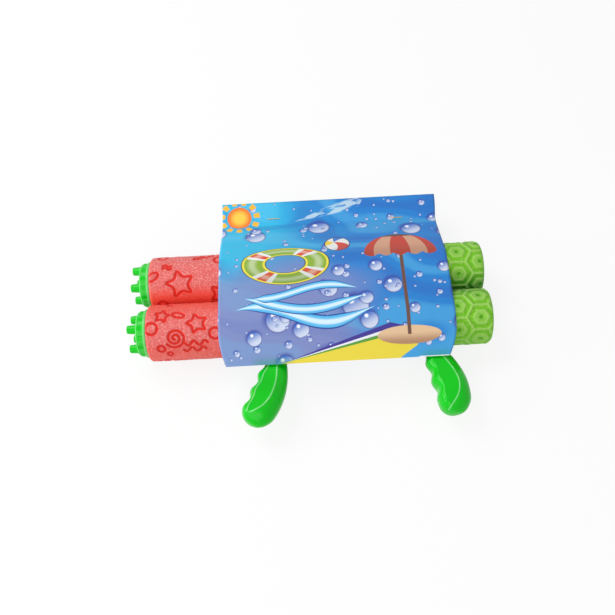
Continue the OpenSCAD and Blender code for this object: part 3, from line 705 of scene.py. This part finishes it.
def shell_cells(barrel):
    """The relief of the shell pattern: ridges round six-sided cells, a raised ring and a dimple in each."""
    period = 2 * math.pi * FOAM_R / SHELL_ROWS
    border = period / 2
    pitch = period / math.sqrt(3) * 1.5
    last_x = span(barrel + "_handle_rear_foam")[1][0] - SHELL_LAST_ROW[barrel]

    def relief(x, turns):
        nearest = np.round((last_x - x) / pitch)
        six = np.full(x.shape, FAR)
        middle = np.full(x.shape, FAR)
        for column in (nearest - 1, nearest, nearest + 1):
            start = np.radians(SHELL_TURN[barrel] + column % 2 * 180 / SHELL_ROWS)
            s = (FOAM_R * (turns - start) + border) % period - border
            along = x - (last_x - column * pitch)
            here = np.maximum(np.abs(s), np.abs(along) * math.sqrt(3) / 2 + np.abs(s) / 2)
            middle = np.where(here < six, np.hypot(along, s), middle)
            six = np.minimum(six, here)
        ridge = np.exp(-((border - six) / RIDGE_HALF) ** 2)
        inner = np.exp(-((six - INNER_RING * border) / RIDGE_HALF) ** 2)
        boss = 1 - ease(six, BOSS_EDGE * border, INNER_RING * border)
        dimple = 1 - ease(middle, *DIMPLE_EDGE)
        height = ridge + INNER_H * inner + BOSS_H * boss - DIMPLE_DEPTH * dimple
        light = np.clip(ridge + INNER_LIGHT * inner + BOSS_LIGHT * boss - dimple, 0, 1)
        # the last value is the painted shade of the dimples
        return SHELL_DEPTH * (np.minimum(height, 1.0) - 1.0), light, PIT_SHADE_SHARE * dimple

    return relief


for barrel, motifs in (("upper", UPPER_MOTIFS), ("lower", LOWER_MOTIFS)):
    for name, front_r in (("_front_foam", FRONT_EDGE_R), ("_rear_foam", CUT_EDGE_R)):
        sleeve(barrel, name, "red_foam", "barrel", front_r, CUT_EDGE_R, pressed_lines(motifs))
    for name, rear_r in (("_handle_front_foam", CUT_EDGE_R), ("_handle_rear_foam", REAR_EDGE_R)):
        sleeve(barrel, name, "green_foam", "plunger", CUT_EDGE_R, rear_r, shell_cells(barrel))


# Nozzle caps: a turned and ribbed body with four nozzles

CAP_COLUMNS = 280
CAP_RIBS = 14
CAP_RIB_W = 5.0
CAP_RIB_H = 0.8
CAP_RIB_FLANK = (-0.25, 0.45)
CAP_RIB_RISE = (0.2, 0.9)
CAP_EDGE_R = 1.5
CAP_FACE_MARGIN = 0.3
CAP_WALL = 2.2
CAP_RIM_T = 2.6
CAP_RIM_R = 0.6
AXIS_HOLE_R = 0.05
NOZZLES = 4
NOZZLE_LEN = 8.5
NOZZLE_ROOT_R = 4.5
NOZZLE_TIP_R = 3.8
NOZZLE_LIP_R = 0.9
NOZZLE_FOOT_R = 0.9
NOZZLE_FOOT_OUT = 0.8
NOZZLE_SUNK = 0.6
NOZZLE_SUNK_R = 5.2
# Turns at which the rounds of foot and lip meet the tapered side
FOOT_END_TURN = -82
LIP_START_TURN = 85
NOZZLE_RING_R = 14.0
NOZZLE_COLUMNS = 40
JET_R = 1.1
JET_LEN = 5.0
JET_EDGE = 0.25
JET_END_R = 0.02
# Painted highlights on the caps: along the rim and where it starts, along the front edge and its width, and
# on the ribs
RIM_HIGHLIGHT = 0.3
RIM_HIGHLIGHT_START = (-0.2, 0.3)
EDGE_HIGHLIGHT = 0.35
EDGE_HIGHLIGHT_W = 0.5
RIB_HIGHLIGHT = 0.07
CAP_TURN = {"upper": 40.0, "lower": 10.0}


def nozzle_profile(tip, face):
    """Columns x and r of a nozzle from its foot over the tip into the hole of its jet."""
    rows = [(face + NOZZLE_SUNK, NOZZLE_SUNK_R)]
    rows += arc((face - NOZZLE_FOOT_R, NOZZLE_ROOT_R + NOZZLE_FOOT_OUT), NOZZLE_FOOT_R, 0, FOOT_END_TURN, 5)
    rows += arc((tip + NOZZLE_LIP_R, NOZZLE_TIP_R - NOZZLE_LIP_R), NOZZLE_LIP_R, LIP_START_TURN, 180, 7)
    rows += [(tip, JET_R + JET_EDGE), (tip + JET_EDGE, JET_R)]
    rows += [(tip + JET_LEN, JET_R), (tip + JET_LEN, JET_END_R)]
    return np.array(rows).T[:, :, None]


def nozzle_cap(barrel):
    low, high = span(barrel + "_nozzle_cap")
    y = BARREL_Y[barrel]
    tip, back = low[0], high[0]
    face = tip + NOZZLE_LEN
    rim_r = (high[2] - low[2]) / 2
    wall_r = rim_r - CAP_RIM_T / 2 - CAP_RIB_H
    rim = back - CAP_RIM_T
    outline = [(face, r) for r in np.linspace(AXIS_HOLE_R, wall_r - CAP_EDGE_R - CAP_FACE_MARGIN, 8)]
    outline += arc((face + CAP_EDGE_R, wall_r - CAP_EDGE_R), CAP_EDGE_R, 180, 90, 8)
    outline += [(x, wall_r) for x in np.linspace(face + CAP_EDGE_R, rim, 20)[1:]]
    for x, start, end in ((rim + CAP_RIM_R, 180, 90), (back - CAP_RIM_R, 90, 0)):
        outline += arc((x, rim_r - CAP_RIM_R), CAP_RIM_R, start, end, 5)
    outline += [(back, BORE_R), (face + CAP_WALL, BORE_R), (face + CAP_WALL, AXIS_HOLE_R)]
    outline = np.array(outline)
    turns = full_turn(CAP_COLUMNS)
    x, r = outline[:, :1], outline[:, 1:]
    pitch = 2 * math.pi / CAP_RIBS
    off = np.abs((turns + pitch / 2) % pitch - pitch / 2) * (wall_r + CAP_RIB_H)
    rib = 1 - ease(off - CAP_RIB_W / 2, *CAP_RIB_FLANK)
    lengthwise = ease(x - face - CAP_EDGE_R, *CAP_RIB_RISE) * (np.abs(r - wall_r) < 0.01)
    points = [turned((x, r + CAP_RIB_H * rib * lengthwise), turns, y).reshape(-1, 3)]
    faces = loop_faces(len(outline), CAP_COLUMNS, True)
    # painted highlights along the rim, the front edge and the ribs
    on_rim = ease(x - rim, *RIM_HIGHLIGHT_START) * (r > BORE_R + 0.5)
    on_edge = np.exp(-((x - face) / EDGE_HIGHLIGHT_W - 1) ** 2) * (r > wall_r - 1.2)
    painted_highlight = [(RIM_HIGHLIGHT * on_rim + EDGE_HIGHLIGHT * on_edge + RIB_HIGHLIGHT * rib * lengthwise).ravel()]
    nozzle = nozzle_profile(tip, face)
    for step in range(NOZZLES):
        turn = math.radians(CAP_TURN[barrel] + 360 / NOZZLES * step)
        first = sum(len(part) for part in points)
        shell = turned(nozzle, full_turn(NOZZLE_COLUMNS), y - NOZZLE_RING_R * math.sin(turn),
                       NOZZLE_RING_R * math.cos(turn)).reshape(-1, 3)
        points.append(shell)
        faces += [quad[::-1] for quad in loop_faces(nozzle.shape[1], NOZZLE_COLUMNS, True, first)]
        painted_highlight.append(np.zeros(len(shell)))
    obj = piece(barrel + "_cap_shell", np.concatenate(points), faces, "barrel", "green_plastic",
                barrel + "_nozzle_cap", crease=50)
    mark(obj, "painted_highlight", np.concatenate(painted_highlight))


for barrel in BARREL_Y:
    nozzle_cap(barrel)


# Grips: two lofted halves that merge into a figure-of-eight clamp round both barrels

GRIP_LEN = 71.5
GRIP_W = 31.0
GRIP_T = 25.0
NECK_T = 17.0
# Shares of a grip's length: where the neck swells, where the palm side is farthest out, and where the
# plateau begins to narrow
NECK_SWELL = (0.3, 0.65)
PALM_CREST = 0.62
PLATEAU_TURN = 0.58
FOOT_START = 0.81 * GRIP_LEN
FOOT_POWER = 2.25
# Shares of a grip's width from its sides to the plateau, and of the finger grooves that the plateau follows
FINGER_INSET = 0.21
PALM_INSET = 0.32
GROOVE_SHARE = 0.33
LEAST_PLATEAU = 0.5
FINGER_CRESTS = 3
FINGER_PITCH = 17.4
FINGER_DEPTH = 2.75
FINGER_LINE = -0.132 * GRIP_W
PALM_DEPTH = GRIP_W + FINGER_LINE
GRIP_MIDDLE = (FINGER_LINE + PALM_DEPTH) / 2
CRISP_TURN = math.radians(62)
FADED_TURN = math.radians(90)
FLANK_STEPS = 18
FLANK_CROWDING = 1.7
PLATEAU_STEPS = 18
ROOT_STATIONS = (-4.0, -2.0)
STATION_STEP = 0.7
FOOT_STATIONS = 34
LAST_FOOT_TURN = 89.5
BEAD_H = 0.28
BEAD_W = 0.45
BEAD_START = (8.0, 16.0)
BEAD_END = 0.97
# Painted highlight along the beads, as a share
BEAD_HIGHLIGHT = 0.5
SLOPE_STEP = 0.2
SEAM = 0.22
CLAMP_LEN = 28.0
CLAMP_R = 25.0
CLAMP_BRIDGE_W = 30.0
SADDLE_DROP = FOAM_R + 5.0
SCREW_HOLE_R = 2.9
SCREW_COLUMNS = 32
DRILL_OVER = 2.0
SCREW_SINK = 1.5
SCREW_HEAD_H = 2.0
NECK_SCREW_DROP = 2.5
PALM_SCREW_DEPTH = 10.0
GRIP_CREASE = 24
BEVEL_W = 0.5
BEVEL_ANGLE = math.radians(50)


def flank(faded):
    """A flank's inset and rise from the parting plane up, as shares. At faded 1 the plateau has no edge."""
    turn = CRISP_TURN + (FADED_TURN - CRISP_TURN) * faded
    turns = turn * (1 - np.linspace(1, 0, FLANK_STEPS) ** FLANK_CROWDING)
    return (1 - np.cos(turns)) / (1 - math.cos(turn)), np.sin(turns) / math.sin(turn)


def stations():
    """How far down a grip's sections are: from inside the clamp, evenly, and closer round the foot."""
    turns = np.radians(np.linspace(0, LAST_FOOT_TURN, FOOT_STATIONS))
    return np.concatenate([ROOT_STATIONS, np.arange(0, FOOT_START, STATION_STEP),
                           FOOT_START + (GRIP_LEN - FOOT_START) * np.sin(turns)])


@dataclass
class Grip:
    """One grip's shape and place."""

    name: str
    body: str
    middle_x: float  # middle of the clamp
    root_share: float  # how far ahead of it the grip starts, as a share of the clamp's length
    first_crest: float  # how far down the first finger crest is
    palm_hollow: float  # how far the palm side draws in at the top
    plateau_end: float  # where the plateau ends, as a share of the length
    finger_line: float  # 1 where the plateau has a crisp finger edge, 0 where it fades
    line_lead: float  # how far the palm line leaves the plateau's edge at the foot
    lean: float

    def plateau_run(self, down):
        """0 where the plateau has its full width, and 1 from its round lower end on."""
        return min(max((down / GRIP_LEN - PLATEAU_TURN) / (self.plateau_end - PLATEAU_TURN), 0.0), 1.0)

    def edges(self, down):
        """Finger side, the plateau's finger and palm edges, palm side, and half thickness."""
        past_foot = max(0.0, (down - FOOT_START) / (GRIP_LEN - FOOT_START))
        keep = max(0.0, 1 - past_foot ** FOOT_POWER) ** (1 / FOOT_POWER)
        past_crest = down - self.first_crest
        groove = 0.0
        if past_crest < -FINGER_PITCH / 2:
            groove = 1.0
        elif past_crest < (FINGER_CRESTS - 1) * FINGER_PITCH:
            groove = (1 - math.cos(2 * math.pi * past_crest / FINGER_PITCH)) / 2
        finger = FINGER_LINE + FINGER_DEPTH * groove
        palm = PALM_DEPTH - self.palm_hollow * ((down / GRIP_LEN - PALM_CREST) / PALM_CREST) ** 2
        line = FINGER_LINE + FINGER_INSET * GRIP_W
        plateau_finger = line + (finger - FINGER_LINE) * GROOVE_SHARE
        palm_limit = max(palm - PALM_INSET * GRIP_W, line + FINGER_DEPTH)
        widest = min(palm - LEAST_PLATEAU, palm_limit) - plateau_finger
        run = self.plateau_run(down)
        plateau_palm = plateau_finger + max(LEAST_PLATEAU, widest * math.sqrt(1 - run ** 2))
        full = float(ease(down / GRIP_LEN, *NECK_SWELL))
        half = (NECK_T + (GRIP_T - NECK_T) * full) / 2 * keep
        return [GRIP_MIDDLE + (edge - GRIP_MIDDLE) * keep
                for edge in (finger, plateau_finger, plateau_palm, palm)] + [half]

    def palm_line(self, down):
        """Where the palm line runs: on the plateau's edge, and ahead of it near the foot."""
        return self.edges(down)[2] - self.line_lead * self.plateau_run(down) ** 4

    def section(self, down):
        """Points (x, z) over one half from finger to palm, the plateau's finger edge and half thickness."""
        finger, plateau_finger, plateau_palm, palm, half = self.edges(down)
        faded = float(ease(self.plateau_run(down), 0, 1))
        finger_inset, finger_rise = flank(max(faded, 1 - self.finger_line))
        palm_inset, palm_rise = flank(faded)
        seam = np.where(np.arange(FLANK_STEPS) == 0, min(SEAM, half / 4), 0.0)
        crowded = (1 - np.cos(np.linspace(0, math.pi, PLATEAU_STEPS)[1:-1])) / 2
        flat = plateau_finger + (plateau_palm - plateau_finger) * crowded
        x = np.concatenate([finger + (plateau_finger - finger) * finger_inset + seam, flat,
                            (palm + (plateau_palm - palm) * palm_inset - seam)[::-1]])
        z = half * np.concatenate([finger_rise, np.ones(len(flat)), palm_rise[::-1]])
        return x, z, plateau_finger, half

    def place(self, depth, down, z):
        """A point of the upright grip, leaned and set under its clamp."""
        x = depth * math.cos(self.lean) - down * math.sin(self.lean)
        y = -down * math.cos(self.lean) - depth * math.sin(self.lean)
        root_x = self.middle_x - self.root_share * CLAMP_LEN
        return np.stack(np.broadcast_arrays(root_x + x, y - FOAM_R, z), axis=-1)

    def screw_places(self):
        """Two screws in the bridge, one under the clamp and one in the palm, at the surface that faces -Z."""
        palm_down = PALM_CREST * GRIP_LEN
        palm_z = self.edges(palm_down)[-1]
        bridge = [(self.middle_x + step * CLAMP_LEN / 4, UPPER_Y / 2, -CLAMP_BRIDGE_W / 2)
                  for step in (-1, 1)]
        neck = (self.middle_x, -FOAM_R - NECK_SCREW_DROP, -NECK_T / 2)
        return bridge + [neck, self.place(PALM_SCREW_DEPTH, palm_down, -palm_z)]


def grip_loft(grip, side):
    """Rings of points down one half of a grip, closed on the parting plane, and each point's share of painted
    highlight.
    """
    rings, painted_highlight = [], []
    for down in stations():
        x, z, plateau_finger, half = grip.section(down)
        shown = float(ease(down, *BEAD_START) * (1 - ease(grip.plateau_run(down), BEAD_END, 1.0)))
        ahead, behind = grip.palm_line(down + SLOPE_STEP), grip.palm_line(down - SLOPE_STEP)
        palm_slope = (ahead - behind) / (2 * SLOPE_STEP)
        bead = np.zeros(len(x))
        for edge, slope, share, least in ((plateau_finger, 0.0, grip.finger_line, 0.94),
                                          (grip.palm_line(down), palm_slope, 1.0, 0.6)):
            width = BEAD_W * math.hypot(1.0, slope)
            bead = np.maximum(bead, share * np.exp(-((x - edge) / width) ** 2) * (z > half * least))
        rings.append(grip.place(x, down, side * (z + BEAD_H * bead * shown)))
        # painted highlight along the beads
        painted_highlight.append(BEAD_HIGHLIGHT * bead * shown)
    return rings, np.concatenate(painted_highlight)


def clamp_outline():
    """Half of the clamp's section in (y, z): over both rings and the bridge, then back under the bores."""
    bridge_turn = math.degrees(math.asin(CLAMP_BRIDGE_W / 2 / CLAMP_R))
    saddle_top = NECK_T / 2 - 0.1
    saddle_turn = 180 - math.degrees(math.asin(saddle_top / CLAMP_R))
    outline = [(-SADDLE_DROP, 0.0), (-SADDLE_DROP, saddle_top)]
    outline += arc((LOWER_Y, 0.0), CLAMP_R, saddle_turn, bridge_turn, 40)
    outline += arc((UPPER_Y, 0.0), CLAMP_R, 180 - bridge_turn, 0, 48)
    for y in (UPPER_Y, LOWER_Y):
        outline += arc((y, 0.0), BORE_R, 0, 180, 48)
    return np.array(outline)


def sink_screws(obj, places):
    """Cuts the holes of the screws' heads into a half. places are at the half's surface, which faces -Z."""
    points, faces = [], []
    steps = full_turn(SCREW_COLUMNS)
    for x, y, z in places:
        faces += capped_faces(2, SCREW_COLUMNS, len(points))
        for level in (z - DRILL_OVER, z + SCREW_SINK + SCREW_HEAD_H):
            points += [(x + SCREW_HOLE_R * math.cos(t), y + SCREW_HOLE_R * math.sin(t), level) for t in steps]
    drill = add_drawn("drill", points, faces)
    holes = obj.modifiers.new("holes", "BOOLEAN")
    holes.operation = "DIFFERENCE"
    holes.solver = "EXACT"
    holes.use_self = True
    holes.object = drill
    drilled = bpy.data.meshes.new_from_object(obj.evaluated_get(bpy.context.evaluated_depsgraph_get()))
    obj.modifiers.clear()
    obj.data = drilled
    drilled.set_sharp_from_angle(angle=math.radians(GRIP_CREASE))
    bpy.data.objects.remove(drill)


def grip_half(grip, half, side):
    """One moulded half: lofted grip and half clamp, with the screws' holes where it faces -Z."""
    rings, painted_highlight = grip_loft(grip, side)
    outline = clamp_outline()
    count = len(outline)
    ends = [np.column_stack([np.full(count, grip.middle_x + end * CLAMP_LEN / 2), outline[:, 0],
                             side * outline[:, 1]]) for end in (-1, 1)]
    faces = capped_faces(len(rings), len(rings[0])) + capped_faces(2, count, len(painted_highlight))
    if side > 0:
        faces = [face[::-1] for face in faces]
    node = grip.name + "_grip_" + half
    points = np.concatenate(rings + ends)
    obj = piece(node + "_shell", points, faces, grip.body, "green_plastic", node, GRIP_CREASE)
    mark(obj, "painted_highlight", np.concatenate([painted_highlight, np.zeros(2 * count)]))
    if side < 0:
        sink_screws(obj, grip.screw_places())
    bevel = obj.modifiers.new("edges", "BEVEL")
    bevel.width = BEVEL_W * MM
    bevel.segments = 2
    bevel.limit_method = "ANGLE"
    bevel.angle_limit = BEVEL_ANGLE


GRIPS = (
    Grip("front", "barrel", middle_x=117.0, root_share=0.15, first_crest=25.0, palm_hollow=14.0,
         plateau_end=0.905, finger_line=1.0, line_lead=0.0, lean=math.radians(23.5)),
    Grip("rear", "plunger", middle_x=259.2, root_share=0.33, first_crest=20.0, palm_hollow=16.0,
         plateau_end=0.97, finger_line=0.0, line_lead=7.5, lean=math.radians(-10.0)),
)
for grip in GRIPS:
    for half, side in (("left", 1), ("right", -1)):
        grip_half(grip, half, side)


# The card: one sheet from the header's front, down and round the bottom fold, and up to the header's back

CARD_T = 0.6
CARD_R = FOAM_R + 0.4 + CARD_T
CARD_FRONT_X = span("card_sleeve")[0][0]
CARD_REAR_X = span("card_sleeve")[1][0]
HEADER_START = 61.0
HEADER_H = 27.0
HEADER_LEAN = math.radians(12)
HEADER_FLARE = 2.2
HEADER_BEND = 1.5
HEADER_SLIT = 0.04
FOLD_FRONT = np.array([-43.5, 11.0])
FOLD_BACK = np.array([-31.0, -11.0])
SLOT_Z = (-9.5, 9.8)
SLOT_TOP = -28.0
SLOTS_X = ((102.0, 132.0), (244.2, CARD_REAR_X + 1))
CORNER_INSET = {"front": 6.0, "rear": 8.0}
CORNER_RISE = 24.0
CORNER_FLAT = 1.4
CORNER_REACH = 30.0
CARD_STEP = 2.0


def panel_turn(crease):
    """Turn, from +y, of the outward direction of the panel that leaves the lower round for a crease."""
    return math.atan2(abs(crease[1]), crease[0]) - math.acos(CARD_R / np.hypot(*crease))


def in_steps(corners):
    """The way from corner to corner, with a point at about every CARD_STEP."""
    corners = [np.array(corner) for corner in corners]
    points = corners[:1]
    for start, end in zip(corners, corners[1:]):
        steps = max(1, round(np.linalg.norm(end - start) / CARD_STEP))
        points += [start + (end - start) * k / steps for k in range(1, steps + 1)]
    return np.array(points)


def card_path():
    """Points (y, z) down the middle of the sheet, places along the print, and the front crease's index."""
    r = CARD_R - CARD_T / 2
    tip_turn = math.degrees(math.acos(CARD_R / HEADER_START))
    front_turn, back_turn = panel_turn(FOLD_FRONT), panel_turn(FOLD_BACK)
    across = (FOLD_FRONT - FOLD_BACK) / np.linalg.norm(FOLD_FRONT - FOLD_BACK)
    fold_normal = np.array([-across[1], across[0]])
    fold_distance = fold_normal @ FOLD_FRONT - CARD_T / 2
    front_crease, back_crease = [
        np.linalg.solve([(math.cos(turn), math.sin(turn)), fold_normal], [r, fold_distance])
        for turn in (front_turn, -back_turn)]
    header = np.array([UPPER_Y + HEADER_START, 0.0])
    along = np.array([math.cos(HEADER_LEAN), math.sin(HEADER_LEAN)])
    out = np.array([-along[1], along[0]]) * (CARD_T + HEADER_SLIT) / 2

    def slot_edge(z):
        share = (z - front_crease[1]) / (back_crease[1] - front_crease[1])
        return front_crease + (back_crease - front_crease) * share

    corners = [header + along * HEADER_H + out, header + along * HEADER_BEND + out]
    corners += arc((UPPER_Y, 0.0), r, tip_turn, 90, 9)
    corners += arc((LOWER_Y, 0.0), r, 90, math.degrees(front_turn), 8)
    corners += [front_crease, slot_edge(SLOT_Z[1]), slot_edge(SLOT_Z[0]), back_crease]
    corners += arc((LOWER_Y, 0.0), r, -math.degrees(back_turn), -90, 8)
    corners += arc((UPPER_Y, 0.0), r, -90, -tip_turn, 9)
    corners += [header + along * HEADER_BEND - out, header + along * HEADER_H - out]
    points = in_steps(corners)
    run = np.concatenate([[0], np.cumsum(np.linalg.norm(np.diff(points, axis=0), axis=1))])
    crease = int(np.argmin(np.linalg.norm(points - front_crease, axis=1)))
    return points, np.abs(run - run[crease]), crease


def corner_bow(up, inset):
    """How far the card's side edge is drawn in at a height over the bottom fold."""
    chord = math.hypot(inset, CORNER_RISE)
    radius = CORNER_FLAT * chord ** 2 / (2 * inset)
    reach = math.sqrt(radius ** 2 - chord ** 2 / 4)
    middle = inset / 2 + reach * CORNER_RISE / chord, CORNER_RISE / 2 + reach * inset / chord
    up = np.clip(up, 0, CORNER_RISE)
    return np.maximum(0, middle[0] - np.sqrt(radius ** 2 - (up - middle[1]) ** 2))


def card():
    """The folded sheet: slotted in its bottom, drawn in at the lower corners, with a flared header."""
    path, along, crease = card_path()
    marks = {CARD_FRONT_X, CARD_REAR_X} | {x for slot in SLOTS_X for x in slot if x < CARD_REAR_X}
    columns = in_steps(sorted(marks))
    up = (path[:, 0] - FOLD_FRONT[0])[:, None]

    def pull(side, away):
        return corner_bow(up, CORNER_INSET[side]) * np.clip(1 - away / CORNER_REACH, 0, 1)

    header = np.clip((path[:, :1] - UPPER_Y - HEADER_START) / HEADER_H + 0.35, 0, 1)
    flare = HEADER_FLARE * header * ((columns - CARD_FRONT_X) / (CARD_REAR_X - CARD_FRONT_X)) ** 2
    x = columns + pull("front", columns - CARD_FRONT_X) - pull("rear", CARD_REAR_X - columns) + flare
    points = np.stack(np.broadcast_arrays(x, path[:, :1], path[:, 1:]), axis=-1)
    wide = len(columns)
    middles_x = (columns[1:] + columns[:-1]) / 2
    slotted = [any(start < middle < end for start, end in SLOTS_X) for middle in middles_x]
    faces, backs = [], []
    for i in range(len(path) - 1):
        middle_y, middle_z = (path[i] + path[i + 1]) / 2
        in_slot = middle_y < SLOT_TOP and SLOT_Z[0] < middle_z < SLOT_Z[1] and i >= crease
        for j in range(wide - 1):
            if in_slot and slotted[j]:
                continue
            faces.append((i * wide + j, (i + 1) * wide + j, (i + 1) * wide + j + 1, i * wide + j + 1))
            backs.append(int(i >= crease))
    obj = piece("card_sheet", points.reshape(-1, 3), faces, "barrel", "card_print", "card_sleeve", crease=30,
                more_looks=(CARD_BACK, CARD_BOARD, CARD_BOARD))
    obj.data.polygons.foreach_set("material_index", backs)
    layer = obj.data.uv_layers.new(name="print")
    across = np.broadcast_to(columns - CARD_FRONT_X, (len(path), wide)).ravel()
    height = np.repeat(along, wide)
    loops = np.empty(len(obj.data.loops), dtype=np.int32)
    obj.data.loops.foreach_get("vertex_index", loops)
    layer.data.foreach_set("uv", np.column_stack([across[loops], height[loops]]).astype(np.float32).ravel())
    thick = obj.modifiers.new("board", "SOLIDIFY")
    thick.thickness = CARD_T * MM
    thick.offset = 0.0
    thick.use_even_offset = True
    thick.material_offset = 2
    thick.material_offset_rim = 2


card()


# The CAD nodes that show as they are take the look of their record slot

for subpart in frame["record"]["subparts"]:
    mesh = frame["nodes"][subpart["node"]].data
    mesh.materials.clear()
    mesh.materials.append(LOOKS[subpart["material_slot"]])


# Stage: the photograph's camera, soft lamps above and at the left, and a white floor that keeps the shadow

CAMERA_AT = (146.48, -326.71, 607.64)
CAMERA_LENS = 43.59
CAMERA_TILT = math.radians(60.37)
CAMERA_ROLL = math.radians(-3.05)
WHITE = (1, 1, 1, 1)
WORLD_LIGHT = 0.43
FLOOR_GREY = (0.9, 0.9, 0.9, 1)
FLOOR_GLOW = 0.84
FLOOR_HALF = 6


def add_camera():
    data = bpy.data.cameras.new("camera")
    data.lens = CAMERA_LENS
    data.sensor_width = 36
    data.clip_start = 0.01
    camera = add_object("camera", data)
    place = Matrix.Translation(Vector(np.array(CAMERA_AT) * MM + ORIGIN))
    tilt = Matrix.Rotation(math.pi / 2 - CAMERA_TILT, 4, "X")
    camera.matrix_world = place @ tilt @ Matrix.Rotation(CAMERA_ROLL, 4, "Z")
    bpy.context.scene.camera = camera


def add_lamp(name, place, size, energy):
    data = bpy.data.lights.new(name, "AREA")
    data.size = size
    data.energy = energy
    lamp = add_object(name, data)
    lamp.location = place
    lamp.rotation_euler = (-Vector(place)).to_track_quat("-Z", "Y").to_euler()


def seen_directly(tree):
    """1 for what the camera sees, straight or in a reflection, and 0 for what lights the object."""
    rays = new_node(tree, "ShaderNodeLightPath").outputs
    mirrored = Value(rays["Is Glossy Ray"]).math("MAXIMUM", Value(rays["Is Transmission Ray"]))
    return Value(rays["Is Camera Ray"]).math("MAXIMUM", mirrored)


def show(tree, output, share, lighting, seen):
    """Mixes two shaders into an output, with that share of what is seen."""
    inputs = {0: share, 1: Value(lighting.outputs[0]), 2: Value(seen.outputs[0])}
    mixed = new_node(tree, "ShaderNodeMixShader", inputs)
    fill(tree.nodes[output], {"Surface": Value(mixed.outputs[0])})


def add_world():
    world = bpy.data.worlds.new("studio")
    bpy.context.scene.world = world
    world.use_nodes = True
    tree = world.node_tree
    light = tree.nodes["Background"]
    fill(light, {"Color": WHITE, "Strength": WORLD_LIGHT})
    backdrop = new_node(tree, "ShaderNodeBackground", {"Color": WHITE})
    show(tree, "World Output", seen_directly(tree), light, backdrop)


def add_floor():
    material = shade(new_material("floor"), {"Base Color": FLOOR_GREY, "Roughness": 0.9})
    tree = material.node_tree
    glow = new_node(tree, "ShaderNodeEmission")
    show(tree, "Material Output", seen_directly(tree) * FLOOR_GLOW, tree.nodes["Principled BSDF"], glow)
    mesh = bpy.data.meshes.new("floor")
    corners = [(x * FLOOR_HALF, y * FLOOR_HALF, 0) for x, y in ((-1, -1), (1, -1), (1, 1), (-1, 1))]
    mesh.from_pydata(corners, [], [(0, 1, 2, 3)])
    mesh.materials.append(material)
    floor = add_object("floor", mesh)


add_camera()
add_lamp("key", (-1.0, 0.8, 1.6), size=1.1, energy=17.0)
add_lamp("fill", (-0.3, -1.4, 1.3), size=1.6, energy=13.5)
add_lamp("side", (-1.5, -0.1, 0.6), size=0.8, energy=9.0)
add_world()
add_floor()
bpy.context.scene.view_settings.view_transform = "Standard"
